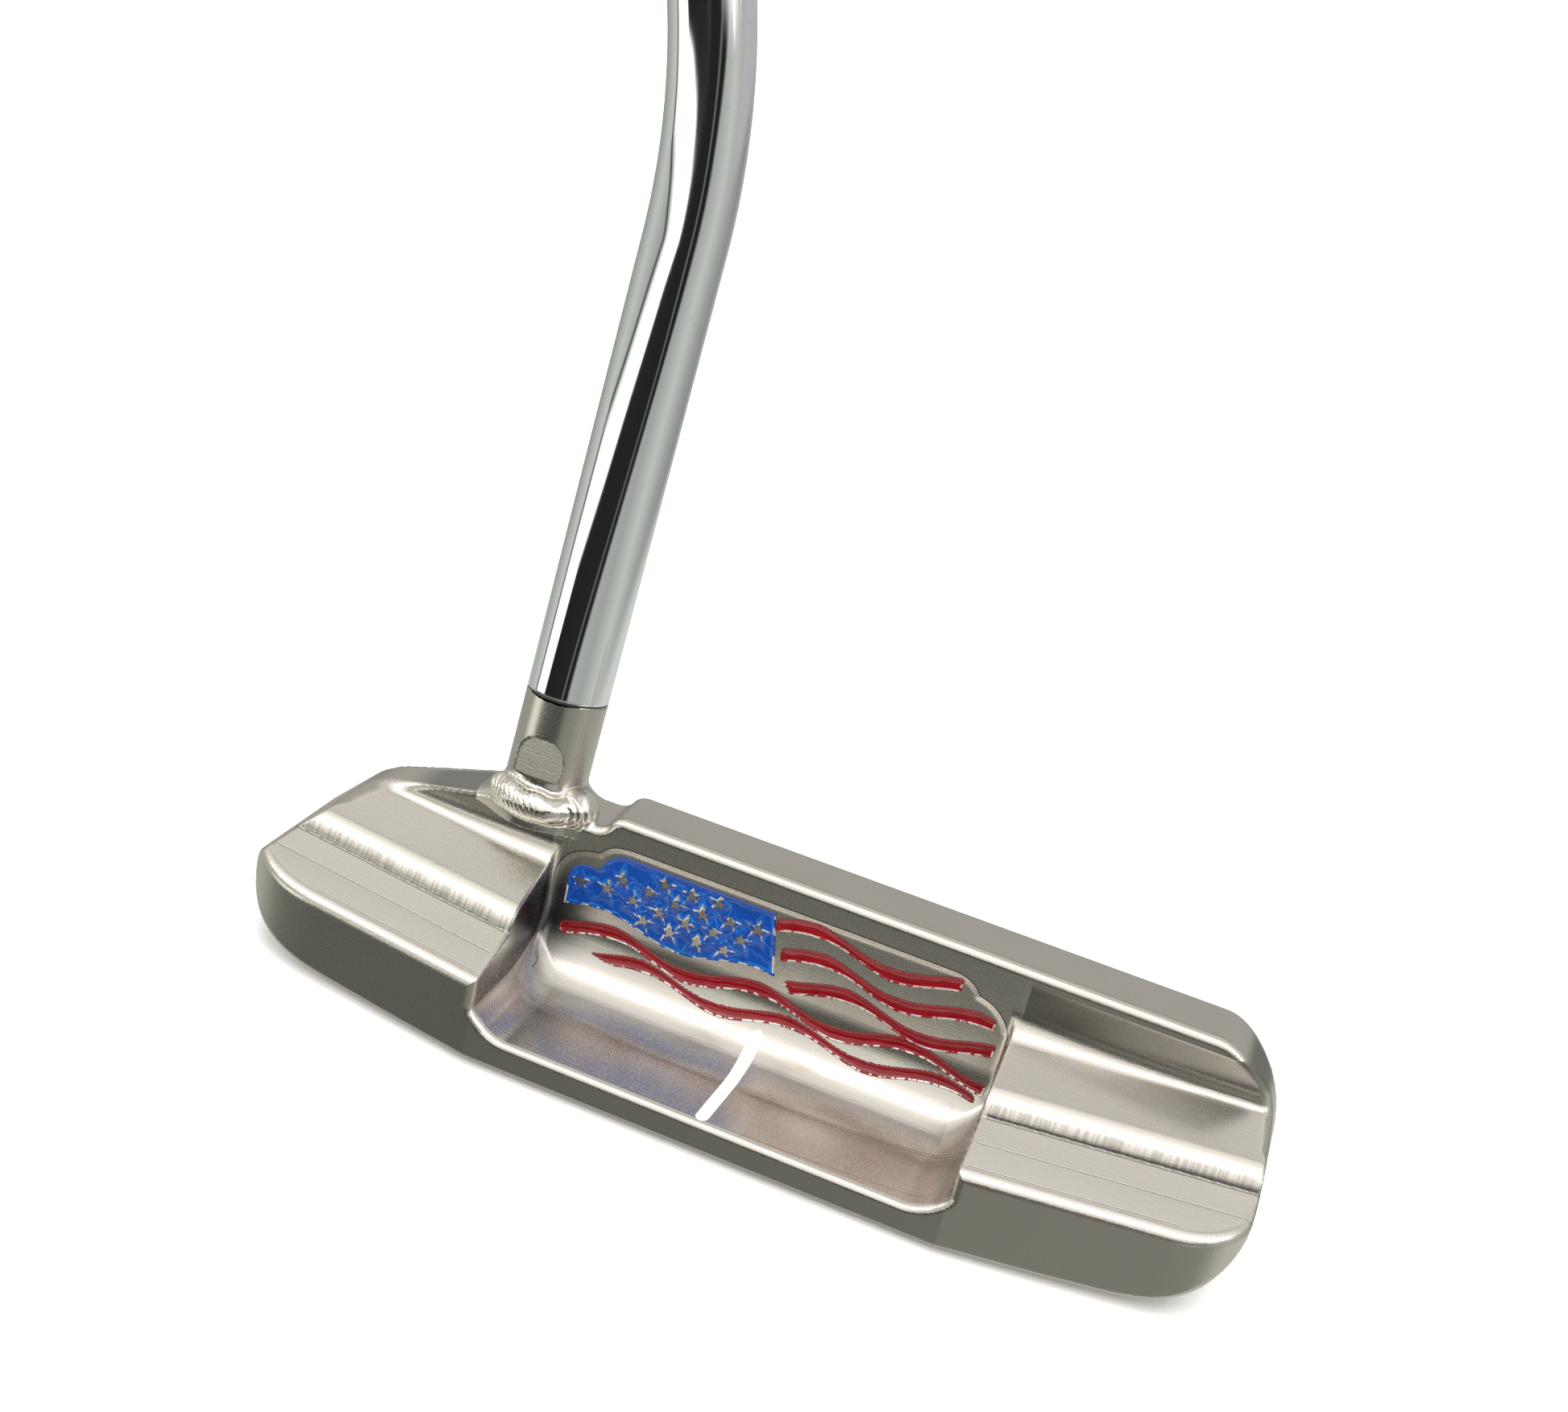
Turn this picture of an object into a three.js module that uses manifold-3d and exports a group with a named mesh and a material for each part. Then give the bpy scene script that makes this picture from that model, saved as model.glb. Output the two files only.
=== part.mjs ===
// Blade putter, right-handed: milled steel head, welded neck, bent steel shaft, rubber grip.
// Millimetres. +X toward the toe, +Y toward the target (the face), +Z up, origin on the flat of the sole.
import * as THREE from 'three';
import { mergeVertices } from 'three/addons/utils/BufferGeometryUtils.js';
import Module from 'manifold-3d';

const wasm = await Module();
wasm.setup();

const DEG = Math.PI / 180;
const V = (x, y, z) => new THREE.Vector3(x, y, z);

// ---- driving dimensions -------------------------------------------------------------
const GAP = 0.3;                    // clearance left between neighbouring pieces
const TOPLINE_Z = 25.5;             // height of the topline over the sole
const NECK_SEAT_Z = 23.4;           // lowered land that the neck is welded to
const FACE_TOP_Y = 11.5;            // top edge of the striking face
const LOFT = 3.5 * DEG;
const WALL_Y = 4.1;                 // back wall of the cavity
const FLOOR_Z = 3.8;                // upper surface of the thin flange
const REAR_Y = -12.75;              // rear edge of the flange
const SWEEP = 9.6 * DEG;            // heel and toe bumpers sweep forward by this angle
const CAVITY_HALF = 27.5;           // half the length of the central cavity
const COVE_R = 8.6;                 // cove between back wall and flange
const CORNER_R = 4.6;               // cavity end wall to flange
const SHELF = { startY: 2.3, startZ: 17.5, slope: 24 * DEG, cove: 2.8 };
const STEP = { topY: -3.96, topZ: 14.72, lowY: -5.23, lowZ: 12.5 };
const RIM = { z: 10.4, r: 1.2 };    // rear rim of the bumpers
const ENAMEL_T = 0.5;               // thickness of the poured enamel
const RECESS_T = 0.9;               // depth of the enamel recesses
const POCKET = { y: 4.5, bottomZ: 6.5 };

const SHAFT_R = 4.7;                // 0.370 inch tip
const SHAFT_WALL = 0.9;
const NECK_BASE = V(-31.7, 7.8, NECK_SEAT_Z);
const NECK_LEAN = 10 * DEG;         // neck leans toward the target
const NECK_LENGTH = 12;
const SPIGOT = { r: 3.1, length: 24 };
const BEND = { start: 63.5, radius: 85, lie: 70 * DEG };
const CLUB_LENGTH = 876;            // 34.5 inches along the shaft
const GRIP_LENGTH = 268;

// ---- colours and finishes -----------------------------------------------------------
const metal = (color, roughness) => new THREE.MeshStandardMaterial({ color, roughness, metalness: 1 });
const plain = (color, roughness) => new THREE.MeshStandardMaterial({ color, roughness, metalness: 0 });
const satinSteel = () => metal(0xa8a59b, 0.38);
const weldSteel = () => metal(0xb9b5aa, 0.3);
const chrome = () => metal(0xdfe2e4, 0.06);
const rubber = () => plain(0x1b1c1e, 0.85);

// ---- solid helpers ------------------------------------------------------------------
function solid(geometry) {
  const g = geometry.index ? geometry.toNonIndexed() : geometry.clone();
  g.deleteAttribute('normal');
  g.deleteAttribute('uv');
  const m = mergeVertices(g, 1e-4);
  return new wasm.Manifold(new wasm.Mesh({
    numProp: 3,
    vertProperties: new Float32Array(m.attributes.position.array),
    triVerts: new Uint32Array(m.index.array),
  }));
}

function toGeometry(manifold) {
  const mesh = manifold.getMesh();
  const g = new THREE.BufferGeometry();
  const xyz = new Float32Array(mesh.numVert * 3);
  for (let i = 0; i < mesh.numVert; i++) {
    for (let k = 0; k < 3; k++) xyz[3 * i + k] = mesh.vertProperties[i * mesh.numProp + k];
  }
  g.setAttribute('position', new THREE.BufferAttribute(xyz, 3));
  g.setIndex(new THREE.BufferAttribute(new Uint32Array(mesh.triVerts), 1));
  g.computeVertexNormals();
  return g;
}

const union = (list) => list.reduce((a, b) => a.add(b));
const common = (list) => list.reduce((a, b) => a.intersect(b));

function extrude(shape, depth, curveSegments = 8) {
  return new THREE.ExtrudeGeometry(shape, { depth, bevelEnabled: false, curveSegments });
}

// Shape drawn in (x, z), carried along Y from y0 to y1.
function alongY(shape, y0, y1, curveSegments) {
  const g = extrude(shape, y1 - y0, curveSegments);
  g.rotateX(Math.PI / 2);
  g.translate(0, y1, 0);
  return solid(g);
}

// Shape drawn in (y, z), carried along X from x0 to x1.
function alongX(shape, x0, x1, curveSegments) {
  const g = extrude(shape, x1 - x0, curveSegments);
  g.applyMatrix4(new THREE.Matrix4().makeBasis(V(0, 1, 0), V(0, 0, 1), V(1, 0, 0)));
  g.translate(x0, 0, 0);
  return solid(g);
}

// Shape drawn in (x, y), carried along Z from z0 to z1.
function alongZ(shape, z0, z1, curveSegments) {
  const g = extrude(shape, z1 - z0, curveSegments);
  g.translate(0, 0, z0);
  return solid(g);
}

// Everything on the side of a plane that its normal points to.
function halfSpace(normal, point) {
  const size = 400;
  const g = new THREE.BoxGeometry(size, size, size);
  const n = normal.clone().normalize();
  g.applyQuaternion(new THREE.Quaternion().setFromUnitVectors(V(0, 0, 1), n));
  const c = point.clone().addScaledVector(n, size / 2);
  g.translate(c.x, c.y, c.z);
  return solid(g);
}

function polygon(points) {
  return new THREE.Shape(points.map(([a, b]) => new THREE.Vector2(a, b)));
}

// ---- head ---------------------------------------------------------------------------
// Outline seen from the front: sole, rounded toe, topline, notch, neck land, sloping heel.
function frontOutline() {
  const s = new THREE.Shape();
  s.moveTo(-46, 0.4);
  s.quadraticCurveTo(-34, 0, -24, 0);
  s.lineTo(24, 0);
  s.quadraticCurveTo(34, 0, 44, 0.4);
  s.quadraticCurveTo(57.2, 0.8, 57.1, 10.5);
  s.quadraticCurveTo(56.9, 18, 52.6, 22.8);
  s.quadraticCurveTo(50.2, TOPLINE_Z, 47.8, TOPLINE_Z);
  s.lineTo(-19.8, TOPLINE_Z);
  s.quadraticCurveTo(-21.2, TOPLINE_Z, -21.8, (TOPLINE_Z + NECK_SEAT_Z) / 2);
  s.quadraticCurveTo(-22.4, NECK_SEAT_Z, -24, NECK_SEAT_Z);
  s.lineTo(-34.5, NECK_SEAT_Z);
  s.quadraticCurveTo(-36.5, 23.1, -39, 22.1);
  s.lineTo(-50.2, 18.4);
  s.quadraticCurveTo(-52.2, 17.7, -54, 16.2);
  s.lineTo(-59.6, 10.4);
  s.quadraticCurveTo(-60.9, 8.8, -60.8, 6.5);
  s.quadraticCurveTo(-60.2, 0.8, -46, 0.4);
  return s;
}

// Outline seen from above: straight flange, swept bumpers, rounded rear corners.
function planOutline() {
  const swept = (x) => REAR_Y + (Math.abs(x) - CAVITY_HALF) * Math.tan(SWEEP);
  const s = new THREE.Shape();
  s.moveTo(-62, 20);
  s.lineTo(-62, 0);
  s.quadraticCurveTo(-59.5, -7.4, -49.5, swept(-49.5));
  s.lineTo(-CAVITY_HALF, REAR_Y);
  s.lineTo(CAVITY_HALF, REAR_Y);
  s.lineTo(49.5, swept(49.5));
  s.quadraticCurveTo(57.5, -7.7, 58, 0.5);
  s.lineTo(58, 20);
  return s;
}

// The space milled away over one bumper. side is +1 for the toe, -1 for the heel.
function bumperCut(side) {
  const along = V(Math.cos(SWEEP), side * Math.sin(SWEEP), 0);
  const across = V(-side * Math.sin(SWEEP), Math.cos(SWEEP), 0);
  const at = (y, z) => V(side * CAVITY_HALF, y, z);
  const shelfNormal = across.clone().multiplyScalar(-Math.sin(SHELF.slope)).setZ(Math.cos(SHELF.slope));
  const wallNormal = V(0, -1, 0);
  const shelfPoint = at(SHELF.startY, SHELF.startZ);
  // Axis of the cove that joins wall and shelf, found where both surfaces are one radius away.
  const coveY = WALL_Y - SHELF.cove;
  const drop = shelfNormal.dot(at(coveY, 0).sub(shelfPoint));
  const coveZ = (SHELF.cove - drop) / shelfNormal.z;
  const centre = at(coveY, coveZ);
  const cove = [0.25, 0.5, 0.75].map((t) => {
    const n = wallNormal.clone().lerp(shelfNormal, t).normalize();
    return halfSpace(n, centre.clone().addScaledVector(n, -SHELF.cove));
  });
  const upper = common([
    halfSpace(wallNormal, V(0, WALL_Y, 0)),
    halfSpace(shelfNormal, shelfPoint),
    ...cove,
  ]);
  const rimY = REAR_Y + RIM.r;
  const rim = [25, 50, 75].map((a) => [
    rimY - RIM.r * Math.sin(a * DEG), RIM.z - RIM.r + RIM.r * Math.cos(a * DEG)]);
  const lowerShape = polygon([
    [STEP.topY, 60], [STEP.topY, STEP.topZ], [STEP.lowY, STEP.lowZ], [rimY, RIM.z],
    ...rim, [REAR_Y - 0.1, RIM.z - RIM.r - 0.2], [-40, RIM.z - RIM.r - 0.2], [-40, 60],
  ].map(([y, z]) => [y * Math.cos(SWEEP), z]));
  const g = extrude(lowerShape, 160);
  g.translate(0, 0, -80);
  g.applyMatrix4(new THREE.Matrix4().makeBasis(across, V(0, 0, 1), along));
  const foot = at(0, 0);
  g.translate(foot.x, foot.y, foot.z);
  const lower = solid(g);
  const beyond = halfSpace(V(side, 0, 0), V(side * (CAVITY_HALF - 1), 0, 0));
  return union([upper, lower]).intersect(beyond);
}

// The central cavity: coved to the back wall, with rounded feet at its two ends.
function cavityCut() {
  const section = new THREE.Shape();
  section.moveTo(-40, FLOOR_Z);
  section.lineTo(WALL_Y - COVE_R, FLOOR_Z);
  section.absarc(WALL_Y - COVE_R, FLOOR_Z + COVE_R, COVE_R, -Math.PI / 2, 0, false);
  section.lineTo(WALL_Y, 60);
  section.lineTo(-40, 60);
  const ends = new THREE.Shape();
  ends.moveTo(-CAVITY_HALF, 60);
  ends.lineTo(-CAVITY_HALF, FLOOR_Z + CORNER_R);
  ends.absarc(-CAVITY_HALF + CORNER_R, FLOOR_Z + CORNER_R, CORNER_R, Math.PI, 1.5 * Math.PI, false);
  ends.absarc(CAVITY_HALF - CORNER_R, FLOOR_Z + CORNER_R, CORNER_R, -Math.PI / 2, 0, false);
  ends.lineTo(CAVITY_HALF, 60);
  return alongX(section, -50, 50, 10).intersect(alongY(ends, -40, 40, 6));
}

// Bottom edges of the rear, chamfered along the flange and along both bumpers.
function soleEdge() {
  const down = (n, p) => halfSpace(n.setZ(1).normalize(), p);
  const c = 1.0;
  const edges = [down(V(0, 1, 0), V(0, REAR_Y + c, 0))];
  for (const side of [-1, 1]) {
    const across = V(-side * Math.sin(SWEEP), Math.cos(SWEEP), 0);
    edges.push(down(across, V(side * CAVITY_HALF, REAR_Y + 2 * c, 0)));
  }
  return common(edges);
}

// ---- the flag: a field and five stripes that wave together ---------------------------
const FLAG = { left: -25.3, top: 21.1, wave: 0.95, length: 18, half: 0.7, thin: 0.27 };
const STAR = { r: 0.8, hole: 1.0, pitchX: 3.3, pitchZ: 1.85, topZ: 19.85 };

// Each stripe: its ends, its mean height, and where its wave crests.
const stripes = [
  { name: 'enamel_stripe_1', x0: -0.6, x1: 20.9, z: 20.0, crest: 4.2 },
  { name: 'enamel_stripe_2', x0: 0.7, x1: 25.5, z: 16.75, crest: 5.8 },
  { name: 'enamel_stripe_3', x0: 1.9, x1: 26.2, z: 13.6, crest: 9.2 },
  { name: 'enamel_stripe_4', x0: -25.2, x1: 26.3, z: 10.45, crest: -0.6 },
  { name: 'enamel_stripe_5', x0: -20.8, x1: 25.5, z: 7.95, crest: 3.6, scale: 0.9 },
];

// A stripe is full on its crests and where it rises, and thins where it falls away.
function stripeShape({ x0, x1, z, crest, scale = 1 }, inset) {
  const n = 20;
  const at = (i, edge) => {
    const x = x0 + inset + ((x1 - x0 - 2 * inset) * i) / n;
    const phase = ((x - crest) / FLAG.length) * 2 * Math.PI;
    const half = scale * (FLAG.half - FLAG.thin * Math.max(0, Math.sin(phase)));
    return [x, z + FLAG.wave * scale * Math.cos(phase) + edge * (half - inset)];
  };
  const upper = Array.from({ length: n + 1 }, (_, i) => at(n - i, 1));
  const lower = Array.from({ length: n + 1 }, (_, i) => at(i, -1));
  return polygon([...lower, ...upper]);
}

const fieldLow = (x) => 12.95 + 0.95 * Math.cos(((x + 20.6) / 19) * 2 * Math.PI);
const fieldHigh = (x) => (x > -20.5 ? FLAG.top : 18.4);

function cantonShape(inset) {
  const left = FLAG.left + inset;
  const top = FLAG.top - inset;
  const s = new THREE.Shape();
  s.moveTo(left, fieldLow(left) + inset);
  const n = 12;
  for (let i = 1; i <= n; i++) {
    const x = left + ((0.5 - inset - left) * i) / n;
    s.lineTo(x, fieldLow(x) + inset);
  }
  s.lineTo(-1.0 - inset, top);
  s.lineTo(-18.6, top);
  s.quadraticCurveTo(-20.9, top, -21.6 + inset, 18.9 - inset);
  s.quadraticCurveTo(-22.3, 18.3 - inset, -22.9, 18.5 - inset);
  s.quadraticCurveTo(left, 18.4 - inset, left, 16.4);
  return s;
}

// Stars stand in staggered rows that follow the wave of the field.
function starPlaces() {
  const places = [];
  for (let row = 0; row < 4; row++) {
    for (let k = 0; k < 8; k++) {
      const x = FLAG.left + 1.4 + (k + (row % 2) / 2) * STAR.pitchX;
      const z = STAR.topZ - row * STAR.pitchZ + 0.35 * Math.cos(((x + 20.6) / 19) * 2 * Math.PI);
      const clear = STAR.hole + 0.15;
      const edge = -1.0 + (FLAG.top - z) * 0.2;
      if (x > edge - 1.3 || z + clear > fieldHigh(x - 0.6) || z - clear < fieldLow(x)) continue;
      places.push([x, z]);
    }
  }
  return places;
}

function starShape(cx, cz, r) {
  return polygon(Array.from({ length: 10 }, (_, i) => {
    const a = Math.PI / 2 + (i * Math.PI) / 5;
    const d = i % 2 ? r * 0.45 : r;
    return [cx + d * Math.cos(a), cz + d * Math.sin(a)];
  }));
}

const recessBack = POCKET.y + RECESS_T;
const recess = (shape) => alongY(shape, POCKET.y - 6, recessBack);
const pour = (shape) => alongY(shape, POCKET.y + 0.1, POCKET.y + 0.1 + ENAMEL_T);

// Shallow flat pocket that the flag lies in; its floor cuts a narrow ledge in the cove.
function flagPocket() {
  const s = new THREE.Shape();
  s.moveTo(-26, POCKET.bottomZ);
  s.lineTo(27, POCKET.bottomZ);
  s.lineTo(27.2, 17);
  s.quadraticCurveTo(26, 20, 23, 20.5);
  s.quadraticCurveTo(22, 22.3, 19.5, 22.3);
  s.lineTo(-18.6, 22.3);
  s.quadraticCurveTo(-21.4, 22.2, -22.2, 20.6);
  s.quadraticCurveTo(-26.6, 20.2, -27, 16.5);
  s.lineTo(-27, 9);
  s.quadraticCurveTo(-27, 7.2, -26, POCKET.bottomZ);
  return alongY(s, -6, POCKET.y, 5);
}

// Sight line: a groove across the flange that climbs a little way up the cove.
const SIGHT = { halfWidth: 0.68, rearY: -12.0, frontY: 1.2 };
function sightSection(lift, drop, inset) {
  const coveFoot = WALL_Y - COVE_R;
  const zAt = (y) => {
    const past = Math.max(0, y - coveFoot);
    return FLOOR_Z + COVE_R - Math.sqrt(COVE_R * COVE_R - past * past);
  };
  const n = 8;
  const y0 = SIGHT.rearY + inset;
  const y1 = SIGHT.frontY - inset;
  const y = (i) => (i === 0 ? y0 : coveFoot + ((y1 - coveFoot) * (i - 1)) / (n - 1));
  const low = Array.from({ length: n + 1 }, (_, i) => [y(i), zAt(y(i)) - drop]);
  const high = Array.from({ length: n + 1 }, (_, i) => [y(n - i), zAt(y(n - i)) + lift]);
  return polygon([...low, ...high]);
}

function buildHead() {
  const faceNormal = V(0, -Math.cos(LOFT), -Math.sin(LOFT));
  let head = common([
    alongY(frontOutline(), -30, 20, 7),
    alongZ(planOutline(), -5, 40, 6),
    halfSpace(faceNormal, V(0, FACE_TOP_Y, TOPLINE_Z)),
    soleEdge(),
  ]);
  head = head.subtract(cavityCut()).subtract(bumperCut(1)).subtract(bumperCut(-1));
  const edge = new THREE.Shape();          // rounding of the topline's rear edge
  edge.moveTo(WALL_Y - 2, TOPLINE_Z + 2);
  edge.lineTo(WALL_Y - 2, TOPLINE_Z - 1);
  edge.lineTo(WALL_Y, TOPLINE_Z - 1);
  edge.absarc(WALL_Y + 1, TOPLINE_Z - 1, 1, Math.PI, Math.PI / 2, true);
  edge.lineTo(WALL_Y + 1, TOPLINE_Z + 2);
  head = head.subtract(alongX(edge, -20, 60, 3)).subtract(flagPocket());
  const cells = stripes.map((s) => recess(stripeShape(s, 0)));
  let field = recess(cantonShape(0));
  for (const [x, z] of starPlaces()) field = field.subtract(recess(starShape(x, z, STAR.r)));
  head = head.subtract(union(cells)).subtract(field);
  const groove = alongX(sightSection(3, RECESS_T, 0), -SIGHT.halfWidth, SIGHT.halfWidth);
  return head.subtract(groove);
}

// ---- shaft line ---------------------------------------------------------------------
const neckDir = V(0, Math.sin(NECK_LEAN), Math.cos(NECK_LEAN));
const upperDir = V(-Math.cos(BEND.lie), 0, Math.sin(BEND.lie));
const bendAngle = neckDir.angleTo(upperDir);
const bendSide = upperDir.clone().addScaledVector(neckDir, -upperDir.dot(neckDir)).normalize();

// Point and direction at a distance s along the club's axis, measured from the neck's seat.
function axisAt(s) {
  const p = NECK_BASE.clone().addScaledVector(neckDir, Math.min(s, BEND.start));
  const dir = neckDir.clone();
  if (s > BEND.start) {
    const a = Math.min((s - BEND.start) / BEND.radius, bendAngle);
    p.addScaledVector(neckDir, BEND.radius * Math.sin(a));
    p.addScaledVector(bendSide, BEND.radius * (1 - Math.cos(a)));
    dir.multiplyScalar(Math.cos(a)).addScaledVector(bendSide, Math.sin(a));
    p.addScaledVector(dir, s - BEND.start - BEND.radius * a);
  }
  return { p, dir };
}

// A closed profile of [radius, distance] is turned round the axis, then laid along the shaft line.
// swell(angle, r) may scale the radius, which makes the flat of the grip.
function turned(profile, segments, swell = () => 1) {
  const points = profile.map(([r, s]) => new THREE.Vector2(r, s));
  points.push(points[0].clone());
  const g = new THREE.LatheGeometry(points, segments);
  const pos = g.attributes.position;
  const v = new THREE.Vector3();
  for (let i = 0; i < pos.count; i++) {
    v.fromBufferAttribute(pos, i);
    const s = v.y;
    const r = Math.hypot(v.x, v.z);
    const scale = swell(Math.atan2(v.z, v.x), r);
    const { p, dir } = axisAt(s);
    const q = new THREE.Quaternion().setFromUnitVectors(V(0, 0, 1), dir);
    const w = V(v.x * scale, -v.z * scale, 0).applyQuaternion(q).add(p);
    pos.setXYZ(i, w.x, w.y, w.z);
  }
  return solid(g);
}

const jointS = NECK_LENGTH;
const bendEnd = BEND.start + BEND.radius * bendAngle;
const shaftStart = jointS + GAP;
const shaftEnd = CLUB_LENGTH - 4;
const gripStart = CLUB_LENGTH - GRIP_LENGTH;

// Outside radius of the shaft: parallel tip, then a step every 38 mm up to the butt.
const STEPS = { first: 330, pitch: 38, count: 7, rise: 0.38, ramp: 2 };
function shaftProfile() {
  const out = [[SHAFT_R, shaftStart]];
  const bendRings = 8;
  for (let i = 0; i <= bendRings; i++) {
    out.push([SHAFT_R, BEND.start + ((bendEnd - BEND.start) * i) / bendRings]);
  }
  for (let k = 0; k < STEPS.count; k++) {
    const s = STEPS.first + k * STEPS.pitch;
    out.push([SHAFT_R + k * STEPS.rise, s], [SHAFT_R + (k + 1) * STEPS.rise, s + STEPS.ramp]);
  }
  out.push([SHAFT_R + STEPS.count * STEPS.rise, shaftEnd]);
  const inner = out.map(([r, s]) => [r - SHAFT_WALL, s]).reverse();
  return [...out, ...inner];
}
const buttR = SHAFT_R + STEPS.count * STEPS.rise;

// ---- neck, weld and joint -----------------------------------------------------------
function buildNeck() {
  const body = turned([
    [0, -3], [SHAFT_R, -3], [SHAFT_R, jointS - 0.15], [SHAFT_R - 0.15, jointS],
    [SPIGOT.r, jointS], [SPIGOT.r, jointS + SPIGOT.length - 1], [SPIGOT.r - 1, jointS + SPIGOT.length],
    [0, jointS + SPIGOT.length],
  ], 32);
  const flat = new THREE.Shape();          // milled flat on the rear of the neck
  flat.moveTo(-2.9, -5);
  flat.lineTo(2.9, -5);
  flat.lineTo(2.9, 4.8);
  flat.quadraticCurveTo(2.7, 6.2, 0, 6.2);
  flat.quadraticCurveTo(-2.7, 6.2, -2.9, 4.8);
  const g = extrude(flat, 6, 4);
  g.rotateX(Math.PI / 2);
  g.translate(0, -3.85, 0);
  g.rotateX(-NECK_LEAN);
  g.translate(NECK_BASE.x, NECK_BASE.y, NECK_BASE.z);
  return body.subtract(solid(g)).intersect(halfSpace(V(0, 0, 1), V(0, 0, NECK_SEAT_Z + GAP)));
}

// A weld bead is part of a ring laid round the foot of the neck.
function weldBead(from, to, ring, thick) {
  const arc = (to - from) * DEG;
  const n = 12;
  const path = new THREE.CatmullRomCurve3(Array.from({ length: n + 1 }, (_, i) => (
    V(ring * Math.cos((arc * i) / n), ring * Math.sin((arc * i) / n), 0))));
  const disc = new THREE.Shape();
  disc.absarc(0, 0, thick, 0, 2 * Math.PI, false);
  const g = new THREE.ExtrudeGeometry(disc, { steps: n, curveSegments: 10, extrudePath: path });
  g.rotateZ(from * DEG);
  g.translate(NECK_BASE.x, NECK_BASE.y, NECK_SEAT_Z + 0.9);
  return solid(g);
}

function trimmedWeld(bead) {
  const clear = turned([[0, -8], [SHAFT_R + GAP, -8], [SHAFT_R + GAP, 10], [0, 10]], 32);
  return bead.subtract(clear).intersect(halfSpace(V(0, 0, 1), V(0, 0, NECK_SEAT_Z + GAP)));
}

// ---- grip ---------------------------------------------------------------------------
const TAPE_T = 0.35;
const tapeIn = buttR + 0.25;
const gripIn = tapeIn + TAPE_T + 0.25;

// Flat for the thumbs along the side that faces away from the player.
const THUMB_FLAT = 0.91;
function gripSwell(angle, r) {
  if (r < gripIn + 0.6) return 1;
  return Math.min(1, THUMB_FLAT / Math.max(0.01, Math.cos(angle)));
}

function gripProfile() {
  const n = 14;
  const outer = (t) => 9.6 + 2.5 * t + 1.2 * Math.sin(Math.PI * Math.min(1, t * 1.15)) ** 2;
  const out = Array.from({ length: n + 1 }, (_, i) => {
    const t = i / n;
    return [outer(t), gripStart + t * (GRIP_LENGTH - 3)];
  });
  return [[gripIn, gripStart], ...out, [gripIn, CLUB_LENGTH - 3]];
}

// ---- assembly -----------------------------------------------------------------------
const group = new THREE.Group();
group.name = 'blade_putter';
function add(name, manifold, material) {
  const mesh = new THREE.Mesh(toGeometry(manifold), material);
  mesh.name = name;
  group.add(mesh);
}

add('head', buildHead(), satinSteel());
add('neck', buildNeck(), satinSteel());
add('weld_rear', trimmedWeld(weldBead(205, 325, 5.5, 1.5)), weldSteel());
add('weld_toe', trimmedWeld(weldBead(335, 380, 5.7, 1.8)), weldSteel());
add('weld_front', trimmedWeld(weldBead(30, 195, 5.3, 1.2)), weldSteel());
add('joint_epoxy', turned([
  [SPIGOT.r + 0.15, jointS + 0.05], [SHAFT_R - 0.1, jointS + 0.05], [SHAFT_R - 0.1, jointS + 0.2],
  [SHAFT_R - SHAFT_WALL - 0.15, jointS + 0.2],
  [SHAFT_R - SHAFT_WALL - 0.15, jointS + SPIGOT.length - 2], [SPIGOT.r + 0.15, jointS + SPIGOT.length - 2],
], 32), plain(0x1a1a1c, 0.5));
add('shaft', turned(shaftProfile(), 32), chrome());
add('grip_tape', turned([
  [tapeIn, gripStart + 2], [tapeIn + TAPE_T, gripStart + 2],
  [tapeIn + TAPE_T, CLUB_LENGTH - 6], [tapeIn, CLUB_LENGTH - 6],
], 32), plain(0xd8d2c0, 0.9));
add('grip', turned(gripProfile(), 32, gripSwell), rubber());
add('grip_cap', turned([
  [1, CLUB_LENGTH - 2.7], [11.6, CLUB_LENGTH - 2.7], [11.6, CLUB_LENGTH - 1], [10.6, CLUB_LENGTH],
  [1, CLUB_LENGTH],
], 32), rubber());

let field = pour(cantonShape(0.15));
for (const [x, z] of starPlaces()) field = field.subtract(pour(starShape(x, z, STAR.hole)));
add('enamel_field', field, plain(0x0a3fbe, 0.25));
for (const s of stripes) add(s.name, pour(stripeShape(s, 0.15)), plain(0x980d20, 0.25));
add('sight_line', alongX(sightSection(-0.1, 0.1 + ENAMEL_T, 0.15), -0.53, 0.53), plain(0xf4f3ee, 0.35));

export default group;
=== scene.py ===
"""Blade putter: the finished look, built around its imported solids.

Metres; +X is the toe, +Y the target and +Z up. Shapes are worked out in millimetres.
"""
import math

import bpy
import numpy as np
from bpy.props import FloatProperty, FloatVectorProperty, IntProperty, PointerProperty
from mathutils import Matrix, Vector


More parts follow.
